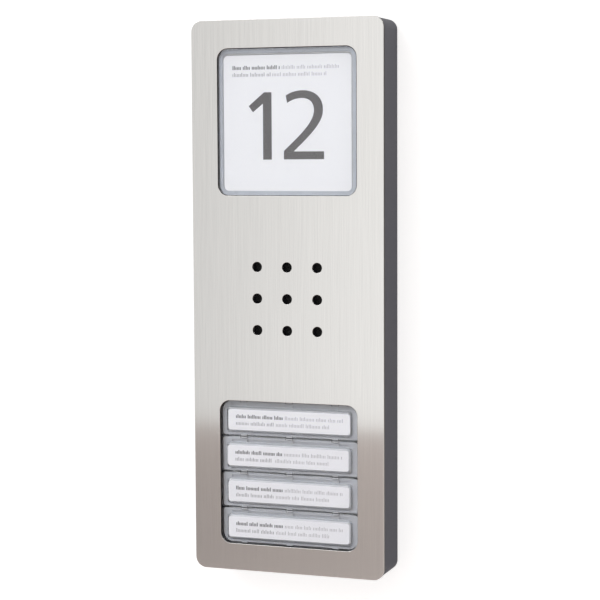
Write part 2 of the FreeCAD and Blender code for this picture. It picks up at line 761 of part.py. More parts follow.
def speaker_leads():
    """Pair of wires from the speaker to its header."""
    paths = [
        [(15.2, -10.0, z), (24.0, -10.5, z - 1.0), (x, -13.5, -17.0), (x, -8.7, -18.0)]
        for x, z in ((33.2, -4.0), (35.2, -2.0))
    ]
    return Part.makeCompound([wire(path, 0.45) for path in paths])


def light_leads():
    """Pair of wires from the number lamp board to its header."""
    paths = [
        [
            (x, NUMBER_POCKET_BACK - 1.2, 56.0),
            (x, -9.9, 55.0),
            (x, -10.6, 44.0),
            (x, -13.2, 36.0),
            (x, -8.7, 36.0),
        ]
        for x in (-27.0, -25.0)
    ]
    return Part.makeCompound([wire(path, 0.45) for path in paths])


def microphone_leads():
    """Pair of wires from the microphone to the main board."""
    paths = [
        [
            (x, MICROPHONE_Y, -128.2),
            (x, MICROPHONE_Y + 1.0, -126.6),
            (x, -8.8, -126.0),
            (x, -8.8, -121.4),
            (x, BOARD_FRONT, -121.4),
        ]
        for x in (MICROPHONE_X - 0.8, MICROPHONE_X + 0.8)
    ]
    return Part.makeCompound([wire(path, 0.35) for path in paths])


def terminal_block():
    """Six-pole terminal block on the wall base, with wire funnels at the top and screws at the front."""
    body = slab(45.0, 12.0, 0.5, -10.5, -BASE_FLOOR, z=60.0)
    cuts = []
    for x in terminal_xs():
        cuts.append(rod(1.9, -11.5, -6.0, x, 60.0))
        cuts.append(upright(1.6, 63.0, 67.0, x, -6.2))
    return without(body, cuts)


def terminal_xs():
    """Places of the six poles along the terminal block."""
    return [(pole - 2.5) * 7.0 for pole in range(6)]


def terminal_screws():
    """Slotted screws of the terminal block."""
    screws = []
    for x in terminal_xs():
        body = rod(1.8, -9.4, -6.0, x, 60.0)
        screws.append(body.cut(block((x - 3, x + 3), (-10.0, -8.6), (59.7, 60.3))))
    return Part.makeCompound(screws)


def bus_ribbon():
    """Flat ribbon from the terminal block to the main board, with its plug in the header."""
    header_front = BOARD_FRONT - BUS_HEADER
    return join([
        block((-8.0, 8.0), (header_front - 0.8, header_front), (38.2, 54.0)),
        block((-8.0, 8.0), (header_front - 0.8, header_front + 0.8), (53.2, 54.0)),
        block((-8.8, 8.8), (header_front - 0.8, BOARD_FRONT - 2.1), (38.2, 41.8)),
    ])


def microphone():
    """Electret microphone capsule, with its sound hole facing down."""
    bottom = -INNER_HEIGHT / 2 + 1.2
    capsule = upright(3.0, bottom, bottom + 2.7, MICROPHONE_X, MICROPHONE_Y)
    return capsule.cut(upright(0.9, bottom - 1, bottom + 0.8, MICROPHONE_X, MICROPHONE_Y))


def microphone_boot():
    """Rubber boot that seals the microphone to its port."""
    bottom = -INNER_HEIGHT / 2
    boot = upright(4.2, bottom, bottom + 5.3, MICROPHONE_X, MICROPHONE_Y)
    cuts = [
        upright(3.0, bottom + 1.2, bottom + 3.9, MICROPHONE_X, MICROPHONE_Y),
        upright(1.0, bottom - 1, bottom + 2, MICROPHONE_X, MICROPHONE_Y),
        upright(1.8, bottom + 3, bottom + 6, MICROPHONE_X, MICROPHONE_Y),
    ]
    return without(boot, cuts)


def lock_screw():
    """Socket-head screw in the bottom edge that locks the housing to the wall base."""
    head_top = -SHELL_HEIGHT / 2 + 2.6
    body = join([
        upright(2.75, head_top - 2.2, head_top, 0, LOCK_Y),
        upright(LOCK_SCREW, head_top - 0.2, head_top + 7.0, 0, LOCK_Y),
    ])
    across = 2.5 / math.sqrt(3)
    turns = [math.radians(60 * side) for side in range(6)]
    corners = [
        Vector(across * math.cos(turn), LOCK_Y + across * math.sin(turn), head_top - 3)
        for turn in turns
    ]
    socket = Part.Face(Part.makePolygon(corners + corners[:1])).extrude(Vector(0, 0, 2.1))
    return body.cut(socket)


def lock_insert():
    """Brass threaded insert in the wall base's lug."""
    bottom = -BASE_HEIGHT / 2 + 2.2
    insert = upright(2.3, bottom, bottom + 4.6, 0, LOCK_Y)
    return insert.cut(upright(LOCK_SCREW, bottom - 1, bottom + 6, 0, LOCK_Y))


def volume_trimmer():
    """Body of the speaker volume trimmer, on the back of the main board."""
    x, z = TRIMMER
    back = BOARD_FRONT + BOARD
    body = slab(4.6, 4.6, 0.3, back, back + 1.9, x, z)
    return body.cut(rod(1.75, back + 0.8, back + 3, x, z))


def volume_rotor():
    """Slotted rotor of the volume trimmer."""
    x, z = TRIMMER
    front = BOARD_FRONT + BOARD + 0.9
    rotor = rod(1.68, front, front + 1.2, x, z)
    return rotor.cut(block((x - 0.3, x + 0.3), (front + 0.7, front + 2), (z - 1.3, z + 1.3)))


SINGLE_NODES = (
    front_plate, plate_bond_tape, front_housing, threaded_standoffs, rear_seal, wall_base,
    number_window, number_label, number_light_guide, number_light_box, number_led_board, leds,
    case_screws, speaker_mesh, speaker_gasket, speaker_frame, speaker_cone, speaker_magnet, speaker_screws,
    button_guide_frame, key_switches, main_board, processor_chip, capacitors, door_relay,
    bus_connector, lead_connectors, speaker_leads, light_leads, microphone_leads,
    terminal_block, terminal_screws, bus_ribbon, microphone, microphone_boot,
    lock_screw, lock_insert, volume_trimmer, volume_rotor,
)
BUTTON_NODES = (button_cap, name_label, button_carrier, return_springs, key_stem)


def main():
    """Write every sub-part as one STEP file."""
    os.makedirs("parts", exist_ok=True)
    shapes = {make.__name__: make() for make in SINGLE_NODES}
    for number in range(1, BUTTONS + 1):
        for make in BUTTON_NODES:
            shapes[f"{make.__name__}_{number}"] = make(number)
    for name, shape in shapes.items():
        if not shape.isValid():
            raise ValueError(f"{name} isn't a valid solid")
        shape.exportStep(f"parts/{name}.step")
        print(name, len(shape.Solids), round(shape.Volume, 1))


main()
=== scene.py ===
import json
import logging
import math
from dataclasses import dataclass, field
from enum import Enum

import bmesh
import bpy
import numpy as np
from mathutils import Matrix, Vector
from mathutils.geometry import tessellate_polygon


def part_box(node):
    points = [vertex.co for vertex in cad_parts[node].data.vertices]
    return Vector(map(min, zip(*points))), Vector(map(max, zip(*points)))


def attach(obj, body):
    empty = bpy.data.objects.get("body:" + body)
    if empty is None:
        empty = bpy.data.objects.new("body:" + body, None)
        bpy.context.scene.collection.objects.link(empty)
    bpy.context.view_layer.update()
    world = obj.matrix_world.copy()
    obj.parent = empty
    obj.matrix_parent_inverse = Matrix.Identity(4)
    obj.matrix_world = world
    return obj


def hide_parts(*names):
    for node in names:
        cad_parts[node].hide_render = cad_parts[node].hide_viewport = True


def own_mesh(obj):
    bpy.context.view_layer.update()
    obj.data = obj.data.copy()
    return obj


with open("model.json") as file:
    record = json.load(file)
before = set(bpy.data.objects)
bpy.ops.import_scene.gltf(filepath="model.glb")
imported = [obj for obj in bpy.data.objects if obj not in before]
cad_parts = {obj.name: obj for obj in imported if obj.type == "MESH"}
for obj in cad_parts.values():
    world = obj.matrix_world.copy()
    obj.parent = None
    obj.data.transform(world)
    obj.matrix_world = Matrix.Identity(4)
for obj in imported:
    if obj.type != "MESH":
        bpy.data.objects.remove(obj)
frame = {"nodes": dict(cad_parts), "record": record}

"""Looks of a door intercom panel: brushed steel face, number window, speaker holes and four call buttons.

Metres. X runs right as seen from the front, Y runs into the wall and Z runs up; the wall plane is y = 0.
"""

LOG = logging.getLogger("intercom")
MM = 0.001
Array = np.ndarray
Number = float | int
Colour = tuple[float, ...] | bpy.types.NodeSocket

PANEL = "panel"
BUTTON_COUNT = 4
GUARD = 0.05 * MM
WELD = 0.0005 * MM
SHARP_ANGLE = math.radians(28)


# ---------------------------------------------------------------- outlines and profiles


@dataclass(frozen=True)
class Loop:
    """A closed outline in the front plane.

    points holds (x, z) pairs, and normals holds the unit vectors that point away from the material.
    """

    points: Array
    normals: Array

    def row(self, offset: float, depth: float) -> Array:
        """Outline moved along its normals.

        Args:
            offset: How far each point moves away from the material.
            depth: The y of the row.

        Returns:
            One (x, y, z) row for each point: point + offset * normal, with y = depth.
        """
        flat = self.points + self.normals * offset
        return np.column_stack((flat[:, 0], np.full(len(flat), depth), flat[:, 1]))

    def as_hole(self) -> "Loop":
        """The same outline with the material outside it."""
        return Loop(self.points, -self.normals)


def rounded_rectangle(
    width: float,
    height: float,
    radii: float | tuple[float, float, float, float],
    centre: tuple[float, float] = (0.0, 0.0),
    steps: int = 12,
) -> Loop:
    """Rectangle with four corner arcs.

    Each corner is its arc centre plus radius * (cos t, sin t), as t runs through its quarter turn.

    Args:
        width: Size along x.
        height: Size along z.
        radii: One radius, or those of the bottom right, top right, top left and bottom left corners.
        centre: The middle as (x, z).
        steps: Points on each arc.

    Returns:
        The outline, which runs anticlockwise as seen from the front.
    """
    radius = np.broadcast_to(np.asarray(radii, float), (4,))[:, None]
    side_x = np.array([1, 1, -1, -1])[:, None]
    side_z = np.array([-1, 1, 1, -1])[:, None]
    turn = np.radians(np.linspace(0, 90, steps))[None, :] + np.radians([[-90], [0], [90], [180]])
    x = centre[0] + side_x * (width / 2 - radius) + radius * np.cos(turn)
    z = centre[1] + side_z * (height / 2 - radius) + radius * np.sin(turn)
    return Loop(
        np.column_stack((x.ravel(), z.ravel())),
        np.column_stack((np.cos(turn).ravel(), np.sin(turn).ravel())),
    )


def circle(radius: float, centre: tuple[float, float], steps: int = 48) -> Loop:
    """Circle: centre + radius * (cos t, sin t) for one full turn of t.

    Args:
        radius: Its radius.
        centre: Its middle as (x, z).
        steps: Points round it.

    Returns:
        The outline, with its normals pointing outwards.
    """
    turn = np.linspace(0, 2 * math.pi, steps, endpoint=False)
    normals = np.column_stack((np.cos(turn), np.sin(turn)))
    return Loop(np.asarray(centre) + radius * normals, normals)


def bezier(points: list[tuple[float, float]], steps: int = 14) -> Array:
    """Cubic curve through sampled Bernstein weights.

    A point is (1-t)^3 a + 3 (1-t)^2 t b + 3 (1-t) t^2 c + t^3 d.

    Args:
        points: The start, the two handles and the end.
        steps: Samples, with the end left out.

    Returns:
        The samples as (x, z) rows.
    """
    t = np.linspace(0, 1, steps, endpoint=False)[:, None]
    a, b, c, d = np.asarray(points, float)
    return (1 - t) ** 3 * a + 3 * (1 - t) ** 2 * t * b + 3 * (1 - t) * t**2 * c + t**3 * d


def soften(corners: list[tuple[float, float, float]], closed: bool = False, steps: int = 5) -> Array:
    """Profile whose corners are replaced by arcs.

    An arc of radius r touches both sides of its corner at r / tan(half the corner's angle), and a guard
    point on each side just past it keeps the flat faces' shading flat.

    Args:
        corners: (offset, depth, radius) for each corner, where a radius of 0 stays sharp.
        closed: Whether the last corner joins the first.
        steps: Points on each arc.

    Returns:
        (offset, depth) rows.
    """
    places = np.array([corner[:2] for corner in corners], float)
    rows: list[Array] = []
    for index, (_, _, radius) in enumerate(corners):
        here = places[index]
        ends = index in (0, len(corners) - 1)
        if radius == 0 or (ends and not closed):
            rows.append(here[None, :])
            continue
        before = places[index - 1] - here
        after = places[(index + 1) % len(corners)] - here
        before = before / np.linalg.norm(before)
        after = after / np.linalg.norm(after)
        half = math.acos(float(np.clip(before @ after, -1, 1))) / 2
        reach = radius / math.tan(half)
        middle = here + (before + after) / np.linalg.norm(before + after) * radius / math.sin(half)
        start = here + before * reach - middle
        end = here + after * reach - middle
        sweep = math.pi - 2 * half
        t = np.linspace(0, 1, steps)[:, None]
        arc = (np.sin((1 - t) * sweep) * start + np.sin(t * sweep) * end) / math.sin(sweep) + middle
        rows.append((here + before * (reach + GUARD))[None, :])
        rows.append(arc)
        rows.append((here + after * (reach + GUARD))[None, :])
    return np.vstack(rows)


# ---------------------------------------------------------------- meshes


class Surface:
    """Collects grids of points and flat fills, and welds them into one closed mesh."""

    def __init__(self) -> None:
        """Start with no points."""
        self.points: list[Array] = []
        self.faces: list[list[int]] = []
        self.count = 0

    def _add_points(self, points: Array) -> int:
        """Store (n, 3) points and return the index of the first of them."""
        first = self.count
        self.points.append(points)
        self.count += len(points)
        return first

    def grid(self, rows: Array, wrap_rows: bool = False) -> "Surface":
        """Skin over an (m, n, 3) array of points, closed along n.

        Args:
            rows: The points, one closed outline in each row.
            wrap_rows: Whether the last row also joins the first.

        Returns:
            This surface.
        """
        m, n, _ = rows.shape
        index = np.arange(m * n).reshape(m, n) + self._add_points(rows.reshape(-1, 3))
        if wrap_rows:
            index = np.vstack((index, index[:1]))
        along = np.roll(index, -1, axis=1)
        quads = np.stack((index[:-1], along[:-1], along[1:], index[1:]), axis=-1)
        self.faces += quads.reshape(-1, 4).tolist()
        return self

    def fill(self, outlines: list[Array]) -> "Surface":
        """Flat face with holes.

        Args:
            outlines: (n, 3) rows at one depth: the outer outline, then any holes.

        Returns:
            This surface.
        """
        first = self._add_points(np.vstack(outlines))
        flat = [[Vector((x, z, 0.0)) for x, _, z in row.tolist()] for row in outlines]
        self.faces += [[first + corner for corner in face] for face in tessellate_polygon(flat)]
        return self

    def carry(self, loop: Loop, profile: Array, closed: bool = False) -> tuple[Array, Array]:
        """Profile carried along an outline: the point at (s, t) is loop(t) + offset(s) * normal(t).

        Args:
            loop: The path.
            profile: (offset, depth) rows.
            closed: Whether the profile is a closed ring.

        Returns:
            The first and last rows of points, for fills.
        """
        rows = np.stack([loop.row(offset, depth) for offset, depth in profile])
        self.grid(rows, wrap_rows=closed)
        return rows[0], rows[-1]

    def moulding(self, edges: list[tuple[Loop, Array]]) -> "Surface":
        """Closed plate-like solid: every outline has its own edge profile, and the ends are filled flat.

        Args:
            edges: The outer outline and then the holes, each with its profile from front to back.

        Returns:
            This surface.
        """
        ends = [self.carry(loop, profile) for loop, profile in edges]
        self.fill([first for first, _ in ends])
        return self.fill([last for _, last in ends])

    def loft(self, rows: list[Array]) -> "Surface":
        """Closed solid through outlines with the same number of points, filled at both ends.

        Args:
            rows: (n, 3) outlines in order.

        Returns:
            This surface.
        """
        self.grid(np.stack(rows))
        self.fill([rows[0]])
        return self.fill([rows[-1]])

    def mesh(self, name: str) -> bpy.types.Mesh:
        """Weld the points, turn the faces outwards and mark the sharp edges.

        Args:
            name: The mesh's name.

        Returns:
            The finished mesh.
        """
        mesh = bpy.data.meshes.new(name)
        mesh.from_pydata(np.vstack(self.points).tolist(), [], self.faces)
        work = bmesh.new()
        work.from_mesh(mesh)
        bmesh.ops.remove_doubles(work, verts=work.verts, dist=WELD)
        bmesh.ops.dissolve_degenerate(work, edges=work.edges, dist=WELD)
        bmesh.ops.recalc_face_normals(work, faces=work.faces)
        work.to_mesh(mesh)
        work.free()
        mesh.polygons.foreach_set("use_smooth", np.ones(len(mesh.polygons), bool))
        mesh.set_sharp_from_angle(angle=SHARP_ANGLE)
        return mesh


@dataclass(frozen=True)
class Place:
    """Where a piece belongs: its CAD body, its material slot and the CAD nodes it stands for."""

    body: str
    slot: str
    stands_for: tuple[str, ...] = ()


def add_piece(surface: Surface, name: str, finish: "Finish", place: Place) -> bpy.types.Object:
    """Make a surface into a piece of the object.

    Args:
        surface: Its shape.
        name: Its name.
        finish: What it is made of.
        place: Its body, slot and CAD nodes.

    Returns:
        The new object.
    """
    piece = bpy.data.objects.new(name, surface.mesh(name))
    bpy.context.scene.collection.objects.link(piece)
    piece.data.materials.append(finish.material())
    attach(piece, place.body)
    if place.stands_for:
        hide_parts(*place.stands_for)
    LOG.info("%s: %d faces on %s", name, len(piece.data.polygons), place.body)
    return piece


# ---------------------------------------------------------------- shader maths


class Signal:
    """A value output of a shader node that Python arithmetic turns into Math nodes."""

    def __init__(self, graph: "Graph", socket: bpy.types.NodeSocket) -> None:
        """Wrap one socket of a graph."""
        self.graph = graph
        self.socket = socket

    def _math(self, operation: str, first: "Signal | Number", second: "Signal | Number") -> "Signal":
        """Add one Math node."""
        node = self.graph.node("ShaderNodeMath", {"operation": operation}, {0: first, 1: second})
        return Signal(self.graph, node.outputs[0])

    def __add__(self, other: "Signal | Number") -> "Signal":
        """Sum."""
        return self._math("ADD", self, other)

    def __radd__(self, other: Number) -> "Signal":
        """Sum with a number on the left."""
        return self._math("ADD", other, self)

    def __sub__(self, other: "Signal | Number") -> "Signal":
        """Difference."""
        return self._math("SUBTRACT", self, other)

    def __rsub__(self, other: Number) -> "Signal":
        """Difference from a number on the left."""
        return self._math("SUBTRACT", other, self)

    def __mul__(self, other: "Signal | Number") -> "Signal":
        """Product."""
        return self._math("MULTIPLY", self, other)

    def __rmul__(self, other: Number) -> "Signal":
        """Product with a number on the left."""
        return self._math("MULTIPLY", other, self)

    def power(self, exponent: Number) -> "Signal":
        """Raised to a power."""
        return self._math("POWER", self, exponent)

    def clamped(self, low: Number, high: Number) -> "Signal":
        """Kept between two numbers."""
        return self._math("MAXIMUM", self._math("MINIMUM", self, high), low)


class Graph:
    """Node tree of one material or world, built from Python values."""

    def __init__(self, tree: bpy.types.NodeTree) -> None:
        """Clear a tree.

        Args:
            tree: The tree to build in.
        """
        self.tree = tree
        tree.nodes.clear()

    def node(
        self,
        kind: str,
        settings: dict[str, object] | None = None,
        inputs: dict[str | int, object] | None = None,
    ) -> bpy.types.Node:
        """Add a node.

        Args:
            kind: Its type.
            settings: Its own settings, set first.
            inputs: Values or links of its sockets, by name or number.

        Returns:
            The node.
        """
        node = self.tree.nodes.new(kind)
        for key, value in (settings or {}).items():
            setattr(node, key, value)
        for key, value in (inputs or {}).items():
            socket = node.inputs[key]
            if isinstance(value, Signal):
                self.tree.links.new(value.socket, socket)
            elif isinstance(value, bpy.types.NodeSocket):
                self.tree.links.new(value, socket)
            else:
                socket.default_value = value
        return node

    def principled(self, inputs: dict[str, object]) -> bpy.types.NodeSocket:
        """Shader output of a Principled node with these inputs."""
        return self.node("ShaderNodeBsdfPrincipled", {}, inputs).outputs[0]

    def mixed(
        self, factor: "Signal", first: bpy.types.NodeSocket, second: bpy.types.NodeSocket
    ) -> bpy.types.NodeSocket:
        """First shader where the factor is 0, and the second where it is 1."""
        return self.node("ShaderNodeMixShader", {}, {0: factor, 1: first, 2: second}).outputs[0]

    def output(self, kind: str, name: str | int = 0) -> "Signal":
        """One output of a node that has no inputs."""
        return Signal(self, self.node(kind).outputs[name])

    def places(self, scale: tuple[float, float, float] = (1.0, 1.0, 1.0)) -> bpy.types.NodeSocket:
        """Object coordinates, stretched by a scale for each axis."""
        source = self.node("ShaderNodeTexCoord")
        inputs = {0: source.outputs["Object"], 1: scale}
        return self.node("ShaderNodeVectorMath", {"operation": "MULTIPLY"}, inputs).outputs[0]

    def noise(self, scale: tuple[float, float, float], detail: float = 3.0, rough: float = 0.5) -> Signal:
        """Fractal noise on Object coordinates, about 0 to 1.

        Args:
            scale: Features per metre along x, y and z.
            detail: Number of octaves.
            rough: How strong the finer octaves are.

        Returns:
            The noise.
        """
        node = self.node(
            "ShaderNodeTexNoise",
            {"noise_dimensions": "3D"},
            {"Vector": self.places(scale), "Scale": 1.0, "Detail": detail, "Roughness": rough},
        )
        return Signal(self, node.outputs["Fac"])

    def blend(self, factor: Signal, low: Colour, high: Colour) -> bpy.types.NodeSocket:
        """Colour between two colours, each a tuple or another node's colour."""
        ends = [(*end, 1.0) if isinstance(end, tuple) else end for end in (low, high)]
        node = self.node("ShaderNodeMix", {"data_type": "RGBA"}, {0: factor, 6: ends[0], 7: ends[1]})
        return node.outputs[2]

    def along(self, axis: str) -> Signal:
        """Object coordinate on one axis, in metres."""
        source = self.node("ShaderNodeTexCoord")
        split = self.node("ShaderNodeSeparateXYZ", {}, {0: source.outputs["Object"]})
        return Signal(self, split.outputs[axis])

    def bump(self, height: Signal, distance: float, strength: float = 1.0) -> bpy.types.NodeSocket:
        """Normal from a height field whose full range is distance metres."""
        inputs = {"Strength": strength, "Distance": distance, "Height": height}
        return self.node("ShaderNodeBump", {}, inputs).outputs[0]


def shade(colour: tuple[float, float, float], factor: float) -> tuple[float, float, float]:
    """A colour made lighter or darker by a factor."""
    return tuple(min(1.0, part * factor) for part in colour)


# ---------------------------------------------------------------- finishes


@dataclass(frozen=True)
class Finish:
    """A surface finish. Each kind fills in its own shader."""

    name: str
    colour: tuple[float, float, float] = (0.5, 0.5, 0.5)

    def material(self) -> bpy.types.Material:
        """The material of this finish, made once."""
        known = bpy.data.materials.get("finish_" + self.name)
        if known is not None:
            return known
        material = bpy.data.materials.new("finish_" + self.name)
        material.use_nodes = True
        graph = Graph(material.node_tree)
        shader = self.build(graph)
        graph.node("ShaderNodeOutputMaterial", {}, {"Surface": shader})
        return material

    def build(self, graph: Graph) -> bpy.types.NodeSocket:
        """Add the shader nodes and return the shader's output."""
        raise NotImplementedError


@dataclass(frozen=True)
class BrushedSteel(Finish):
    """Stainless sheet with a fine vertical grain, and painted shade on its side faces behind its polished
    face.
    """

    roughness: float = 0.11
    anisotropy: float = 1.0
    side_shade_depth: float = 0.18 * MM
    # painted shade: a near-black colour for the plate's side faces, standing in for the shade that falls
    # there
    painted_side_shade: tuple[float, float, float] = (0.11, 0.105, 0.10)
    grain: tuple[float, float, float] = (4200.0, 300.0, 36.0)
    streaks: tuple[float, float, float] = (1900.0, 200.0, 22.0)

    def build(self, graph: Graph) -> bpy.types.NodeSocket:
        """Grain and streaks are noise stretched along z. The painted shade on the side faces starts a little
        behind the face, and those faces are also made rougher.
        """
        grain = graph.noise(self.grain, detail=2.0, rough=0.6)
        streaks = graph.noise(self.streaks, detail=3.0, rough=0.55)
        cloud = graph.noise((9.0, 9.0, 6.0), detail=2.0)
        tone = ((streaks * 0.4 + grain * 0.6 - 0.5) * 1.9 + 0.5).clamped(0.0, 1.0)
        colour = graph.blend(tone, shade(self.colour, 0.92), shade(self.colour, 1.06))
        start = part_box("front_plate")[0].y + self.side_shade_depth
        # mask of the painted shade: 0 on the front face, 1 on the side faces behind it
        side_shade_mask = ((graph.along("Y") - start) * (10.0 / MM)).clamped(0.0, 1.0)
        rough = self.roughness - 0.02 + grain * 0.02 + streaks * 0.015 + cloud * 0.005 + side_shade_mask * 0.4
        return graph.principled({
            # painted shade: the side faces take a near-black colour in place of the steel's own
            "Base Color": graph.blend(side_shade_mask, colour, self.painted_side_shade),
            "Metallic": 1.0,
            "Roughness": rough,
            "Anisotropic": self.anisotropy,
            "Normal": graph.bump(grain * 0.6 + streaks * 0.4, 0.006 * MM, 1.0),
        })


@dataclass(frozen=True)
class MouldedPlastic(Finish):
    """Moulded plastic with a spark-eroded texture, faint mottling and rubbed patches."""

    roughness: float = 0.5
    grain_size: float = 0.35 * MM
    grain_depth: float = 0.02 * MM
    gloss: float = 0.5
    sheen_through: float = 0.0

    def build(self, graph: Graph) -> bpy.types.NodeSocket:
        """Fine noise gives the texture, and slow noise the mottling and the rubbed patches."""
        fine = 1 / self.grain_size
        grain = graph.noise((fine, fine, fine), detail=2.0, rough=0.6)
        mottle = graph.noise((60.0, 60.0, 60.0), detail=4.0)
        rubbed = graph.noise((22.0, 22.0, 9.0), detail=5.0, rough=0.65)
        tone = (grain * 0.35 + mottle * 0.65).clamped(0.0, 1.0)
        rough = self.roughness - 0.12 + grain * 0.1 + mottle * 0.06 + rubbed * 0.09
        return graph.principled({
            "Base Color": graph.blend(tone, shade(self.colour, 0.88), shade(self.colour, 1.12)),
            "Roughness": rough,
            "Specular IOR Level": self.gloss,
            "Subsurface Weight": self.sheen_through,
            "Subsurface Radius": (1.2 * MM, 1.2 * MM, 1.2 * MM),
            "Subsurface Scale": 1.0,
            "Normal": graph.bump(grain, self.grain_depth, 0.6),
        })


@dataclass(frozen=True)
class ClearPlastic(Finish):
    """Clear moulded plastic with faint wipe marks. Lamps shine through it."""

    roughness: float = 0.03
    index: float = 1.5

    def build(self, graph: Graph) -> bpy.types.NodeSocket:
        """Glass that lets lamp light pass straight through, with faint wipe marks."""
        wipes = graph.noise((140.0, 60.0, 420.0), detail=4.0, rough=0.6)
        glass = graph.principled({
            "Base Color": (*self.colour, 1.0),
            "Roughness": self.roughness + wipes.power(3.0) * 0.1,
            "Transmission Weight": 1.0,
            "IOR": self.index,
        })
        passing = graph.node("ShaderNodeBsdfTransparent", {}, {"Color": (*self.colour, 1.0)})
        return graph.mixed(graph.output("ShaderNodeLightPath", "Is Shadow Ray"), glass, passing.outputs[0])


@dataclass(frozen=True)
class Paper(Finish):
    """Matt paper or film with a faint fibre texture. glow is a small constant emission of painted light: the
    paper glows though it is no lamp.
    """

    fibre: float = 0.008 * MM
    glow: float = 0.0

    def build(self, graph: Graph) -> bpy.types.NodeSocket:
        """Crossed stretched noise gives the fibres."""
        across = graph.noise((900.0, 900.0, 5200.0), detail=3.0)
        along = graph.noise((5200.0, 900.0, 900.0), detail=3.0)
        fibres = across * 0.5 + along * 0.5
        return graph.principled({
            "Base Color": graph.blend(fibres, shade(self.colour, 0.975), shade(self.colour, 1.02)),
            "Roughness": 0.55 + fibres * 0.15,
            # painted light: a constant emission that brightens the paper, which is no lamp
            "Emission Color": (0.93, 0.95, 1.0, 1.0),
            "Emission Strength": self.glow,
            "Normal": graph.bump(fibres, self.fibre, 0.6),
        })


@dataclass(frozen=True)
class Rubber(Finish):
    """Matt rubber or foam with open pores."""

    pore: float = 0.3 * MM

    def build(self, graph: Graph) -> bpy.types.NodeSocket:
        """Cell noise gives the pores, and slow noise the dust."""
        size = 1 / self.pore
        pores = graph.noise((size, size, size), detail=2.0, rough=0.7)
        dust = graph.noise((80.0, 80.0, 80.0), detail=5.0, rough=0.7)
        return graph.principled({
            "Base Color": graph.blend(dust.power(2.0), shade(self.colour, 0.8), shade(self.colour, 2.2)),
            "Roughness": 0.72 + dust * 0.2,
            "Normal": graph.bump(pores, 0.05 * MM, 0.6),
        })


@dataclass(frozen=True)
class BareMetal(Finish):
    """Plated or turned metal with fine scratches and cloudy oxide."""

    roughness: float = 0.3

    def build(self, graph: Graph) -> bpy.types.NodeSocket:
        """Two crossed scratch fields and a slow cloud."""
        first = graph.noise((6000.0, 900.0, 900.0), detail=2.0)
        second = graph.noise((900.0, 900.0, 6000.0), detail=2.0)
        cloud = graph.noise((300.0, 300.0, 300.0), detail=4.0)
        scratch = first * 0.5 + second * 0.5
        return graph.principled({
            "Base Color": graph.blend(cloud, shade(self.colour, 0.82), shade(self.colour, 1.1)),
            "Metallic": 1.0,
            "Roughness": self.roughness - 0.08 + scratch * 0.14 + cloud * 0.1,
            "Normal": graph.bump(scratch, 0.006 * MM, 0.7),
        })


@dataclass(frozen=True)
class Circuit(Finish):
    """Solder mask over a woven glass laminate, with faint copper lines under it."""

    def build(self, graph: Graph) -> bpy.types.NodeSocket:
        """Square waves of the coordinates give the copper lines, and noise breaks them up."""
        blocks = graph.node(
            "ShaderNodeTexBrick",
            {"offset": 0.5},
            {"Vector": graph.places((1.0, 0.0, 1.0)), "Scale": 90.0, "Mortar Size": 0.02},
        )
        lines = Signal(graph, blocks.outputs["Fac"])
        weave = graph.noise((1800.0, 1800.0, 1800.0), detail=2.0)
        tone = (lines * 0.5 + weave * 0.5).clamped(0.0, 1.0)
        return graph.principled({
            "Base Color": graph.blend(tone, shade(self.colour, 0.75), shade(self.colour, 1.8)),
            "Roughness": 0.28 + weave * 0.15,
            "Normal": graph.bump(lines * 0.6 + weave * 0.4, 0.03 * MM, 0.6),
        })


@dataclass(frozen=True)
class WovenMesh(Finish):
    """Fine plain-woven screen."""

    pitch: float = 0.4 * MM

    def build(self, graph: Graph) -> bpy.types.NodeSocket:
        """The height is the larger of two rounded thread waves."""
        waves = [
            graph.node(
                "ShaderNodeTexWave",
                {"wave_type": "BANDS", "bands_direction": axis, "wave_profile": "SIN"},
                {"Vector": graph.places(), "Scale": 0.05 * math.tau / self.pitch, "Distortion": 0.0},
            )
            for axis in ("X", "Z")
        ]
        first, second = (Signal(graph, wave.outputs["Fac"]) for wave in waves)
        thread = (first + second) * 0.5
        return graph.principled({
            # painted shade and highlight: the colour is darker in the hollows between threads and lighter on
            # their crests
            "Base Color": graph.blend(thread, shade(self.colour, 0.4), shade(self.colour, 1.8)),
            "Roughness": 0.5 + thread * 0.2,
            "Normal": graph.bump(thread, 0.15 * MM, 0.8),
        })


@dataclass(frozen=True)
class StageSheet(Finish):
    """Matt studio sheet. A one-sided sheet can't be seen from behind and doesn't stop lamp light."""

    one_sided: bool = False
    glow: float = 0.0
    painted_gradient: bool = False

    def brightness(self, graph: Graph) -> Signal:
        """Painted light falloff on the floor: grows to the right, and with the distance past two metres from
        the wall.
        """
        far = (-2.0 - graph.along("Y")).clamped(0.0, 1.4)
        return 1.32 + graph.along("X") * 0.5 + far * 0.6

    def paint(self, graph: Graph) -> Colour:
        """One colour, or a painted light gradient that reaches twice that colour."""
        if not self.painted_gradient:
            return (*self.colour, 1.0)
        # painted light: the floor colour is scaled by the falloff above
        share = (self.brightness(graph) * 0.5).clamped(0.35, 1.0)
        return graph.blend(share, (0.0, 0.0, 0.0), shade(self.colour, 2.0))

    def build(self, graph: Graph) -> bpy.types.NodeSocket:
        """Rough pale sheet, with its back face and its shadow rays left clear when it is one-sided."""
        sheet = graph.principled({
            "Base Color": self.paint(graph),
            "Roughness": 0.9,
            "Specular IOR Level": 0.1,
            "Emission Color": (1.0, 1.0, 1.0, 1.0),
            "Emission Strength": self.glow,
        })
        if not self.one_sided:
            return sheet
        clear = graph.node("ShaderNodeBsdfTransparent").outputs[0]
        side = graph.output("ShaderNodeNewGeometry", "Backfacing")
        rays = graph.output("ShaderNodeLightPath", "Is Shadow Ray")
        return graph.mixed((side + rays).clamped(0.0, 1.0), sheet, clear)


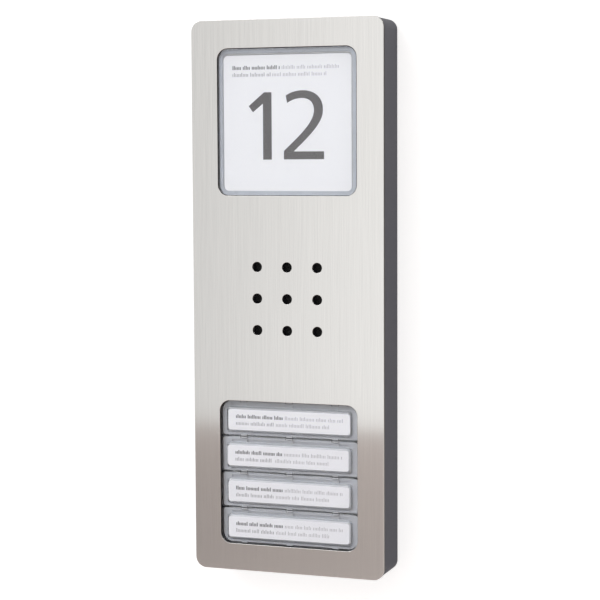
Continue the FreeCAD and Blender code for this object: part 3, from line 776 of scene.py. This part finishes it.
@dataclass(frozen=True)
class SatinPlastic(Finish):
    """Translucent moulding with a satin face: pale, a little cloudy and glossy enough to catch the light."""

    roughness: float = 0.3

    def build(self, graph: Graph) -> bpy.types.NodeSocket:
        """Slow clouds in colour and roughness, and a soft orange-peel ripple."""
        cloud = graph.noise((90.0, 90.0, 90.0), detail=4.0, rough=0.6)
        peel = graph.noise((1400.0, 1400.0, 1400.0), detail=2.0)
        return graph.principled({
            "Base Color": graph.blend(cloud, shade(self.colour, 0.86), shade(self.colour, 1.12)),
            "Roughness": self.roughness - 0.08 + cloud * 0.12 + peel * 0.04,
            "Subsurface Weight": 0.35,
            "Subsurface Radius": (1.5 * MM, 1.6 * MM, 1.8 * MM),
            "Subsurface Scale": 1.0,
            "Normal": graph.bump(peel, 0.01 * MM, 0.5),
        })


STEEL = BrushedSteel("brushed_steel", (0.80, 0.79, 0.775))
CHARCOAL = MouldedPlastic("charcoal_plastic", (0.033, 0.032, 0.044), roughness=0.6, gloss=0.3)
CLEAR = ClearPlastic("clear_plastic", (0.985, 0.99, 1.0))
SATIN = SatinPlastic("satin_rim", (0.53, 0.57, 0.64))
# painted light: the glow of the number film and of the name labels brightens them; neither is a lamp
WHITE_FILM = Paper("white_film", (0.90, 0.91, 0.935), glow=0.10)
LABEL_PAPER = Paper("label_paper", (0.90, 0.90, 0.93), glow=0.11)
DARK_INK = Paper("dark_ink", (0.10, 0.096, 0.10))
BOLD_INK = Paper("bold_ink", (0.18, 0.18, 0.19))
GREY_INK = Paper("grey_ink", (0.42, 0.42, 0.44))
PALE_INK = Paper("pale_ink", (0.56, 0.56, 0.58))
SEAL_RUBBER = Rubber("black_rubber", (0.025, 0.025, 0.026))

SLOT_FINISHES: dict[str, Finish] = {
    "brushed_steel": STEEL,
    "foam_tape": Rubber("foam_tape", (0.045, 0.045, 0.047), pore=0.5 * MM),
    "charcoal_plastic": CHARCOAL,
    "black_rubber": SEAL_RUBBER,
    "clear_plastic": CLEAR,
    "white_film": WHITE_FILM,
    "diffuser": MouldedPlastic("diffuser", (0.86, 0.87, 0.88), roughness=0.4, sheen_through=0.5),
    "white_plastic": SatinPlastic("white_plastic", (0.55, 0.56, 0.58), roughness=0.45),
    "board_green": Circuit("board_green", (0.015, 0.15, 0.06)),
    "led_body": MouldedPlastic("led_body", (0.85, 0.8, 0.45), roughness=0.3),
    "zinc_steel": BareMetal("zinc_steel", (0.62, 0.62, 0.6), roughness=0.36),
    "black_mesh": WovenMesh("black_mesh", (0.02, 0.02, 0.021)),
    "black_paper": Paper("black_paper", (0.03, 0.03, 0.032), fibre=0.03 * MM),
    "dark_magnet": BareMetal("dark_magnet", (0.12, 0.12, 0.13), roughness=0.55),
    "black_plastic": MouldedPlastic("black_plastic", (0.025, 0.025, 0.027), roughness=0.45),
    "capacitor_sleeve": MouldedPlastic("capacitor_sleeve", (0.03, 0.04, 0.13), roughness=0.3),
    "relay_plastic": MouldedPlastic("relay_plastic", (0.04, 0.12, 0.45), roughness=0.35),
    "red_wire": MouldedPlastic("red_wire", (0.5, 0.03, 0.025), roughness=0.35),
    "terminal_green": MouldedPlastic("terminal_green", (0.04, 0.3, 0.11), roughness=0.4),
    "grey_ribbon": MouldedPlastic("grey_ribbon", (0.42, 0.42, 0.43), roughness=0.5),
    "microphone_metal": BareMetal("microphone_metal", (0.75, 0.75, 0.75), roughness=0.3),
    "lock_steel": BareMetal("lock_steel", (0.6, 0.59, 0.57), roughness=0.3),
    "brass": BareMetal("brass", (0.8, 0.58, 0.26), roughness=0.3),
    "trimmer_plastic": MouldedPlastic("trimmer_plastic", (0.04, 0.13, 0.5), roughness=0.35),
    "label_paper": LABEL_PAPER,
    "grey_plastic": SatinPlastic("grey_plastic", (0.60, 0.62, 0.66), roughness=0.35),
    "spring_steel": BareMetal("spring_steel", (0.6, 0.59, 0.58), roughness=0.28),
}


# ---------------------------------------------------------------- printed marks


class Ink(Enum):
    """The weights of the placeholder print on the labels."""

    BOLD = "bold_ink"
    PLAIN = "grey_ink"
    LIGHT = "pale_ink"

    def finish(self) -> Finish:
        """The ink's finish."""
        return {"bold_ink": BOLD_INK, "grey_ink": GREY_INK, "pale_ink": PALE_INK}[self.value]

    def stroke(self) -> float:
        """Width of a stroke of this weight."""
        return {"bold_ink": 0.5 * MM, "grey_ink": 0.36 * MM, "pale_ink": 0.34 * MM}[self.value]


@dataclass(frozen=True)
class PrintLine:
    """One line of placeholder print: upright ticks in word-sized groups, which spell nothing."""

    start: float
    end: float
    base: float
    ink: Ink
    tall: float = 1.9 * MM
    short: float = 1.35 * MM
    pitch: float = 0.78 * MM
    seed: int = 1

    def ticks(self) -> tuple[Array, Array, Array]:
        """Places of the ticks.

        A tick stands at every pitch from start to end, except at the word gaps, and about a quarter of
        the ticks are tall.

        Returns:
            Arrays of the ticks' x, bottom z and top z.
        """
        draw = np.random.default_rng(self.seed)
        x = np.arange(self.start, self.end, self.pitch)
        words = np.cumsum(draw.integers(6, 12, 12))
        keep = ~np.isin(np.arange(len(x)), words)
        x = x[keep]
        tall = draw.random(len(x)) < 0.28
        bottom = np.full(len(x), self.base)
        top = np.where(tall, self.base + self.tall, self.base + self.short)
        return x, bottom, top


def add_ticks(surface: Surface, line: PrintLine, front: float, back: float) -> None:
    """Add a line's ticks as thin closed boxes.

    Args:
        surface: Where they go.
        line: The line of print.
        front: y of the printed face.
        back: y of the paper.
    """
    width = line.ink.stroke()
    for x, bottom, top in zip(*line.ticks()):
        corner_x = np.array([x, x + width, x + width, x])
        corner_z = np.array([bottom, bottom, top, top])
        rows = [np.column_stack((corner_x, np.full(4, y), corner_z)) for y in (front, back)]
        surface.loft(rows)


# ---------------------------------------------------------------- the panel's parts


@dataclass
class SteelFace:
    """Brushed steel plate with its two windows and its grid of speaker holes."""

    corner: float = 5.5 * MM
    window: float = 72.0 * MM
    window_corner: float = 5.5 * MM
    hole: float = 2.5 * MM
    pitch: float = 15.6 * MM
    broken_edge: float = 0.12 * MM
    front: float = field(init=False)
    back: float = field(init=False)
    size: tuple[float, float] = field(init=False)
    window_heights: tuple[float, float] = field(init=False)

    def __post_init__(self) -> None:
        """Take the plate's box and the windows' heights from the frame."""
        low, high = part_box("front_plate")
        self.front = low.y
        self.back = high.y
        self.size = (high.x - low.x, high.z - low.z)
        number_low, number_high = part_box("number_window")
        first_low, first_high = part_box("button_cap_1")
        last_low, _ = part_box(f"button_cap_{BUTTON_COUNT}")
        self.window_heights = (
            (number_low.z + number_high.z) / 2,
            (first_high.z + last_low.z) / 2,
        )

    def window_loops(self) -> list[Loop]:
        """Outlines of the two windows, as holes."""
        return [
            rounded_rectangle(self.window, self.window, self.window_corner, (0.0, z)).as_hole()
            for z in self.window_heights
        ]

    def hole_loops(self) -> list[Loop]:
        """Outlines of the nine speaker holes."""
        steps = (-self.pitch, 0.0, self.pitch)
        return [circle(self.hole, (x, z)).as_hole() for x in steps for z in steps]

    def build(self) -> None:
        """Make the plate: one edge profile carried round every outline."""
        edge = soften([
            (-0.8 * MM, self.front, 0.0),
            (0.0, self.front, self.broken_edge),
            (0.0, self.back, 0.1 * MM),
            (-0.8 * MM, self.back, 0.0),
        ])
        outer = rounded_rectangle(*self.size, self.corner, steps=20)
        loops = [outer] + self.window_loops() + self.hole_loops()
        surface = Surface().moulding([(loop, edge) for loop in loops])
        add_piece(surface, "steel_face", STEEL, Place(PANEL, "brushed_steel", ("front_plate",)))


@dataclass
class RearSeal:
    """Rubber ring between the housing and the wall, with two rounded lips."""

    wall: float = 2.2 * MM
    corner: float = 5.2 * MM

    def build(self) -> None:
        """Make the ring: a closed profile carried round the housing's outline."""
        low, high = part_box("rear_seal")
        middle = (low.y + high.y) / 2
        profile = soften(
            [
                (-0.12 * MM, low.y, 0.1 * MM),
                (-0.12 * MM, middle, 0.0),
                (0.0, high.y, 0.1 * MM),
                (-self.wall, high.y, 0.15 * MM),
                (-self.wall, low.y, 0.15 * MM),
            ],
            closed=True,
        )
        surface = Surface()
        outline = rounded_rectangle(high.x - low.x, high.z - low.z, self.corner, steps=20)
        surface.carry(outline, profile, closed=True)
        add_piece(surface, "wall_seal", SEAL_RUBBER, Place(PANEL, "black_rubber", ("rear_seal",)))


@dataclass
class NumberWindow:
    """Clear cover over the house number, with the printed film behind it."""

    cover: float = 71.4 * MM
    cover_corner: float = 5.2 * MM
    skirt: float = 1.4 * MM
    band: float = 2.4 * MM
    film_corner: float = 2.3 * MM
    print_depth: float = 0.03 * MM

    def build(self) -> None:
        """Make the cover, the film and its print."""
        low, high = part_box("number_window")
        middle = (low.z + high.z) / 2
        film_low, film_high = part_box("number_label")
        self.build_cover(low.y, high.y, film_low.y, middle)
        self.build_film(film_low, film_high)

    def build_cover(self, front: float, back: float, inner: float, middle: float) -> None:
        """Clear pane with a rounded edge, and the satin rim and skirt behind its border.

        Args:
            front: y of the outer face.
            back: y of the skirt's rear edge.
            inner: y of the pane's inner side.
            middle: z of the centre.
        """
        outline = rounded_rectangle(self.cover, self.cover, self.cover_corner, (0.0, middle), 20)
        edge = soften([
            (-1.5 * MM, front, 0.0),
            (0.0, front, 0.45 * MM),
            (0.0, inner - 0.02 * MM, 0.15 * MM),
            (-1.5 * MM, inner - 0.02 * MM, 0.0),
        ])
        place = Place(PANEL, "clear_plastic", ("number_window",))
        add_piece(Surface().moulding([(outline, edge)]), "number_cover", CLEAR, place)
        rim = soften(
            [
                (-0.15 * MM, inner, 0.1 * MM),
                (-0.15 * MM, back, 0.15 * MM),
                (-self.skirt, back, 0.15 * MM),
                (-self.skirt, inner + 0.35 * MM, 0.0),
                (-self.band, inner + 0.35 * MM, 0.05 * MM),
                (-self.band + 0.5 * MM, inner, 0.15 * MM),
            ],
            closed=True,
        )
        surface = Surface()
        surface.carry(outline, rim, closed=True)
        add_piece(surface, "number_cover_rim", SATIN, Place(PANEL, "clear_plastic", ("number_window",)))

    def build_film(self, low: Vector, high: Vector) -> None:
        """Film with rounded corners, the two digits and two lines of placeholder print.

        Args:
            low: Lowest corner of the film's box.
            high: Highest corner of it.
        """
        face = low.y + 2 * self.print_depth
        centre = (0.0, (low.z + high.z) / 2)
        outline = rounded_rectangle(high.x - low.x, high.z - low.z, self.film_corner, centre, 10)
        profile = np.array([(0.0, face), (0.0, high.y)])
        film = Surface().moulding([(outline, profile)])
        add_piece(film, "number_film", WHITE_FILM, Place(PANEL, "white_film", ("number_label",)))

        printed = face - self.print_depth
        digits = Surface()
        for shape in (self.digit_one(), self.digit_two()):
            rows = [
                np.column_stack((shape[:, 0], np.full(len(shape), y), shape[:, 1] + centre[1]))
                for y in (printed, face)
            ]
            digits.loft(rows)
        add_piece(digits, "house_number", DARK_INK, Place(PANEL, "white_film"))
        top = centre[1] + 26.1 * MM
        lines = (
            PrintLine(-28.3 * MM, -3.8 * MM, top, Ink.BOLD, seed=11),
            PrintLine(-2.6 * MM, 27.2 * MM, top, Ink.LIGHT, seed=12),
            PrintLine(-28.3 * MM, -8.5 * MM, top - 3.4 * MM, Ink.PLAIN, seed=13),
            PrintLine(-7.4 * MM, 20.1 * MM, top - 3.4 * MM, Ink.LIGHT, seed=14),
        )
        place = Place(PANEL, "white_film")
        for number, line in enumerate(lines, 1):
            surface = Surface()
            add_ticks(surface, line, printed, face)
            add_piece(surface, f"number_print_{number}", line.ink.finish(), place)

    @staticmethod
    def digit_one() -> Array:
        """Outline of the figure 1: a straight stem with a slanted flag, about the film's middle."""
        corners = [
            (-8.0, -17.7), (-8.0, 15.0), (-11.9, 15.0), (-19.9, 8.4), (-17.7, 5.4),
            (-12.5, 9.5), (-12.5, -17.7),
        ]
        return np.array(corners) * MM

    @staticmethod
    def digit_two() -> Array:
        """Outline of the figure 2: an outer and an inner stroke of cubic curves over a straight foot."""
        outer = [
            [(-0.6, 13.3), (1.9, 14.9), (4.9, 15.7), (8.1, 15.7)],
            [(8.1, 15.7), (14.5, 15.7), (18.5, 12.1), (18.5, 6.3)],
            [(18.5, 6.3), (18.5, 0.5), (13.5, -4.6), (3.4, -13.8)],
        ]
        inner = [
            [(-1.7, -13.5), (8.3, -4.6), (13.9, 0.8), (13.9, 6.2)],
            [(13.9, 6.2), (13.9, 9.8), (11.6, 12.0), (7.7, 12.0)],
            [(7.7, 12.0), (5.0, 12.0), (2.4, 11.2), (0.1, 9.7)],
        ]
        foot = np.array([(3.4, -13.8), (19.0, -13.8), (19.0, -17.6), (-1.7, -17.6)])
        curves = [bezier(part) for part in outer] + [foot] + [bezier(part) for part in inner]
        return np.vstack(curves + [np.array([(0.1, 9.7)])]) * MM


@dataclass
class CallButton:
    """One call button: its clear bevelled cap and its name label with placeholder print."""

    number: int
    cap: tuple[float, float] = (71.4 * MM, 17.6 * MM)
    small_corner: float = 1.5 * MM
    window_corner: float = 5.2 * MM
    pad: tuple[float, float] = (65.5 * MM, 12.8 * MM)
    pad_corner: float = 1.5 * MM
    pocket: tuple[float, float] = (65.2 * MM, 12.4 * MM)
    pocket_corner: float = 1.3 * MM
    label_corner: float = 1.2 * MM
    bevel: float = 0.8 * MM
    lug_xs: tuple[float, ...] = (-24.0 * MM, 0.0, 24.0 * MM)
    lug: float = 3.5 * MM
    notch: float = 0.7 * MM
    air: float = 0.03 * MM
    print_depth: float = 0.03 * MM

    def body(self) -> str:
        """The button's CAD body."""
        return f"button_{self.number}"

    def outline(
        self,
        size: tuple[float, float],
        radii: float | tuple[float, float, float, float],
        middle: float,
        depth: float,
        notch: float = 0.0,
    ) -> Array:
        """Rounded rectangle with three notch places in its top and bottom edges.

        A row without notches has the same number of points, so that any two rows can be skinned.

        Args:
            size: Width and height.
            radii: One corner radius, or four.
            middle: z of the centre.
            depth: The y of the row.
            notch: Depth of the notches.

        Returns:
            The row of points.
        """
        arcs = rounded_rectangle(*size, radii, (0.0, middle), 8).points.reshape(4, 8, 2)
        half = self.lug / 2
        across = np.repeat(np.array(self.lug_xs), 4) + np.tile([-half, -half, half, half], 3)
        inward = np.tile([0.0, notch, notch, 0.0], 3)
        top = np.column_stack((across[::-1], middle + size[1] / 2 - inward))
        bottom = np.column_stack((across, middle - size[1] / 2 + inward))
        flat = np.vstack((arcs[0], arcs[1], top, arcs[2], arcs[3], bottom))
        return np.column_stack((flat[:, 0], np.full(len(flat), depth), flat[:, 1]))

    def cap_radii(self, shrink: float) -> tuple[float, float, float, float]:
        """Corner radii of the cap: large at the window's corners, small between buttons."""
        top = self.window_corner if self.number == 1 else self.small_corner
        bottom = self.window_corner if self.number == BUTTON_COUNT else self.small_corner
        return (bottom - shrink, top - shrink, top - shrink, bottom - shrink)

    def build(self) -> None:
        """Make the cap, the label and the print."""
        low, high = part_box(f"button_cap_{self.number}")
        label_low, label_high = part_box(f"name_label_{self.number}")
        middle = (low.z + high.z) / 2
        pad_middle = (label_low.z + label_high.z) / 2
        self.build_cap(low.y, high.y, label_low.y, middle, pad_middle)
        self.build_label(label_low, label_high)

    def build_cap(self, front: float, back: float, paper: float, middle: float, pad_middle: float) -> None:
        """Skin the cap through its outlines, from the pad's front to the label pocket behind it.

        Args:
            front: y of the pad's face.
            back: y of the border's rear face.
            paper: y of the label's face.
            middle: z of the border's centre.
            pad_middle: z of the pad's centre.
        """
        border = back - 1.5 * MM
        back -= self.air
        soft = 0.12 * MM
        width, height = self.pad
        top = (width - 2 * self.bevel, height - 2 * self.bevel)
        top_corner = self.pad_corner - self.bevel
        rim = (self.cap[0] - 2 * soft, self.cap[1] - 2 * soft)
        inset = (top[0] - 2 * GUARD, top[1] - 2 * GUARD)
        rows = [
            self.outline(inset, top_corner - GUARD, pad_middle, front),
            self.outline(top, top_corner, pad_middle, front),
            self.outline(self.pad, self.pad_corner, pad_middle, front + self.bevel),
            self.outline(self.pad, self.pad_corner, pad_middle, border),
            self.outline(rim, self.cap_radii(soft), middle, border, self.notch),
            self.outline(self.cap, self.cap_radii(0.0), middle, border + soft, self.notch),
            self.outline(self.cap, self.cap_radii(0.0), middle, back, self.notch),
            self.outline(self.pocket, self.pocket_corner, pad_middle, back),
            self.outline(self.pocket, self.pocket_corner, pad_middle, paper - self.air),
        ]
        place = Place(self.body(), "clear_plastic", (f"button_cap_{self.number}",))
        add_piece(Surface().loft(rows), f"clear_cap_{self.number}", CLEAR, place)

    def build_label(self, low: Vector, high: Vector) -> None:
        """Paper strip with two lines of placeholder print.

        Args:
            low: Lowest corner of the label's box.
            high: Highest corner of it.
        """
        face = low.y + 2 * self.print_depth
        across, middle = (low.x + high.x) / 2, (low.z + high.z) / 2
        size = (high.x - low.x, high.z - low.z)
        outline = rounded_rectangle(*size, self.label_corner, (across, middle), 6)
        paper = Surface().moulding([(outline, np.array([(0.0, face), (0.0, high.y)]))])
        place = Place(self.body(), "label_paper", (f"name_label_{self.number}",))
        add_piece(paper, f"paper_label_{self.number}", LABEL_PAPER, place)
        first, second = middle + 0.75 * MM, middle - 2.7 * MM
        lines = (
            PrintLine(across - 27.6 * MM, across - 3.0 * MM, first, Ink.BOLD, seed=20 + self.number),
            PrintLine(across - 1.7 * MM, across + 28.4 * MM, first, Ink.LIGHT, seed=30 + self.number),
            PrintLine(across - 27.6 * MM, across - 7.4 * MM, second, Ink.PLAIN, seed=40 + self.number),
            PrintLine(across - 6.4 * MM, across + 21.1 * MM, second, Ink.LIGHT, seed=50 + self.number),
        )
        for index, line in enumerate(lines, 1):
            surface = Surface()
            add_ticks(surface, line, face - self.print_depth, face)
            name = f"label_print_{self.number}_{index}"
            add_piece(surface, name, line.ink.finish(), Place(self.body(), "label_paper"))


@dataclass
class ReturnSprings:
    """The two coil springs behind one button, built at rest; the real springs shorten as it is pressed."""

    number: int
    turns: int = 4
    wire: float = 0.25 * MM
    travel: float = 1.2 * MM
    slack: float = 0.03 * MM
    steps: int = 96
    sides: int = 10

    def coil(self, centre: Vector, radius: float, length: float) -> Array:
        """Rows of points round a wire that winds about y.

        With t the unit tangent of the helix and e the unit vector away from its axis, the point at
        angle b round the wire is centre line + wire * (cos b * e + sin b * (t x e)). The first and
        last rows shrink to a point, which closes the ends.

        Args:
            centre: Middle of the coil's front end.
            radius: Radius of the helix.
            length: How far it runs along y.

        Returns:
            (steps + 3, sides, 3) points.
        """
        turn = np.linspace(0.0, 2 * np.pi * self.turns, self.steps + 1)
        zero = np.zeros_like(turn)
        outward = np.column_stack((np.cos(turn), zero, np.sin(turn)))
        pitch = length / (2 * np.pi * self.turns)
        tangent = np.column_stack((-radius * np.sin(turn), zero + pitch, radius * np.cos(turn)))
        tangent /= np.linalg.norm(tangent, axis=1, keepdims=True)
        line = np.array(centre) + radius * outward + np.column_stack((zero, pitch * turn, zero))
        around = np.linspace(0.0, 2 * np.pi, self.sides, endpoint=False)[None, :, None]
        beside = np.cross(tangent, outward)[:, None]
        wire = line[:, None] + self.wire * (np.cos(around) * outward[:, None] + np.sin(around) * beside)
        ends = np.repeat(line[[0, -1], None], self.sides, axis=1)
        return np.concatenate((ends[:1], wire, ends[1:]))

    def build(self) -> None:
        """Make both coils as one piece."""
        low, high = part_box(f"return_springs_{self.number}")
        radius = (high.z - low.z) / 2 - self.wire
        length = high.y - low.y - 2 * self.wire
        middle = (low.z + high.z) / 2
        surface = Surface()
        for across in (low.x + radius + self.wire, high.x - radius - self.wire):
            centre = Vector((across, low.y + self.wire, middle))
            surface.grid(self.coil(centre, radius, length))
        place = Place(PANEL, "spring_steel", (f"return_springs_{self.number}",))
        springs = add_piece(surface, f"spring_pair_{self.number}", SLOT_FINISHES[place.slot], place)
        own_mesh(springs)


@dataclass
class Innards:
    """The CAD nodes that stay visible: each gets the finish of its material slot."""

    def build(self) -> None:
        """Give every CAD node a finish, the hidden ones too."""
        for entry in frame["record"]["subparts"]:
            node = frame["nodes"][entry["node"]]
            finish = SLOT_FINISHES[entry["material_slot"]]
            for material_slot in node.material_slots:
                material_slot.material = finish.material()


# ---------------------------------------------------------------- studio


@dataclass(frozen=True)
class Lamp:
    """One square soft lamp: where it stands and points in metres, its side, and its power in watts."""

    name: str
    place: tuple[float, float, float]
    target: tuple[float, float, float]
    size: float
    power: float

    def build(self) -> None:
        """Make the lamp and point it at its target."""
        light = bpy.data.lights.new(self.name, "AREA")
        light.shape = "SQUARE"
        light.size = self.size
        light.energy = self.power
        lamp = bpy.data.objects.new(self.name, light)
        lamp.location = self.place
        direction = Vector(self.target) - Vector(self.place)
        lamp.rotation_euler = direction.to_track_quat("-Z", "Y").to_euler()
        bpy.context.scene.collection.objects.link(lamp)


@dataclass
class Studio:
    """White wall, pale floor, soft sky and three soft lamps."""

    floor_drop: float = 0.6
    floor_reach: float = 3.34
    half_width: float = 4.0
    wall_gap: float = 0.8 * MM
    wall_colour: tuple[float, float, float] = (0.6, 0.6, 0.6)
    wall_glow: float = 0.68
    floor_colour: tuple[float, float, float] = (0.456, 0.407, 0.389)
    sky: float = 0.92
    lamps: tuple[Lamp, ...] = (
        Lamp("key_lamp", (-1.1, -1.5, 1.35), (0.0, 0.0, 0.0), 1.1, 14.0),
        Lamp("side_lamp", (0.7, -0.15, 0.8), (0.05, 0.0, 0.12), 0.3, 1.8),
        Lamp("back_lamp", (0.3, 1.6, 0.8), (0.0, 0.0, 0.0), 1.2, 9.0),
    )

    def build(self) -> None:
        """Make the sheets, the sky and the lamps."""
        wall = StageSheet("studio_wall", self.wall_colour, one_sided=True, glow=self.wall_glow)
        # the floor carries a painted light gradient, brighter to the right and far from the wall
        floor = StageSheet("studio_floor", self.floor_colour, painted_gradient=True)
        self.sheet("studio_wall", self.wall_corners(), wall)
        self.sheet("studio_floor", self.floor_corners(), floor)
        self.build_sky()
        for lamp in self.lamps:
            lamp.build()

    def wall_corners(self) -> Array:
        """Corners of the wall, facing the viewer."""
        w, y = self.half_width, self.wall_gap
        return np.array([(-w, y, -self.floor_drop), (w, y, -self.floor_drop), (w, y, 3.0), (-w, y, 3.0)])

    def floor_corners(self) -> Array:
        """Corners of the floor, facing up."""
        w, far, z = self.half_width, self.wall_gap - self.floor_reach, -self.floor_drop
        return np.array([(-w, far, z), (w, far, z), (w, 2.0, z), (-w, 2.0, z)])

    def sheet(self, name: str, corners: Array, finish: Finish) -> None:
        """Add one flat sheet of the stage."""
        mesh = bpy.data.meshes.new(name)
        mesh.from_pydata(corners.tolist(), [], [list(range(len(corners)))])
        mesh.materials.append(finish.material())
        sheet = bpy.data.objects.new(name, mesh)
        bpy.context.scene.collection.objects.link(sheet)

    def build_sky(self) -> None:
        """White sky that brightens from the far left to the front and falls off to the right."""
        world = bpy.data.worlds.new("studio_sky")
        world.use_nodes = True
        graph = Graph(world.node_tree)
        source = graph.node("ShaderNodeTexCoord")
        split = graph.node("ShaderNodeSeparateXYZ", {}, {0: source.outputs["Generated"]})
        across = Signal(graph, split.outputs["X"])
        rise = ((across + 0.344) * 4.0 + 1.01).clamped(0.7, 1.2)
        fall = (0.85 - across * 1.5).clamped(0.4, 1.0)
        strength = rise * fall * self.sky
        inputs = {"Color": (1.0, 0.995, 0.985, 1.0), "Strength": strength}
        back = graph.node("ShaderNodeBackground", {}, inputs)
        graph.node("ShaderNodeOutputWorld", {}, {"Surface": back.outputs[0]})
        bpy.context.scene.world = world


@dataclass
class Viewpoint:
    """Camera to the right of the panel and a little above its middle."""

    place: tuple[float, float, float] = (0.3076, -0.8599, 0.0728)
    turn: float = math.radians(19.793)
    tilt: float = math.radians(-4.695)
    roll: float = math.radians(-0.283)
    lens: float = 109.6

    def build(self) -> None:
        """Make the camera and use it."""
        camera_data = bpy.data.cameras.new("viewpoint")
        camera_data.lens = self.lens
        camera_data.sensor_width = 36.0
        camera_data.clip_end = 50.0
        forward = Vector((
            -math.sin(self.turn) * math.cos(self.tilt),
            math.cos(self.turn) * math.cos(self.tilt),
            math.sin(self.tilt),
        ))
        level = Vector((math.cos(self.turn), math.sin(self.turn), 0.0))
        above = level.cross(forward)
        right = level * math.cos(self.roll) + above * math.sin(self.roll)
        up = above * math.cos(self.roll) - level * math.sin(self.roll)
        camera = bpy.data.objects.new("viewpoint", camera_data)
        axes = Matrix((right, up, -forward)).transposed().to_4x4()
        camera.matrix_world = Matrix.Translation(self.place) @ axes
        bpy.context.scene.collection.objects.link(camera)
        bpy.context.scene.camera = camera


def main() -> None:
    """Build every part of the object in order, then the studio and the camera."""
    logging.basicConfig(level=logging.INFO, format="%(name)s: %(message)s")
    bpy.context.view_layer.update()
    bpy.context.scene.view_settings.view_transform = "Standard"
    Viewpoint().build()
    Innards().build()
    SteelFace().build()
    RearSeal().build()
    NumberWindow().build()
    for number in range(1, BUTTON_COUNT + 1):
        CallButton(number).build()
        ReturnSprings(number).build()
    Studio().build()


if __name__ == "__main__":
    main()
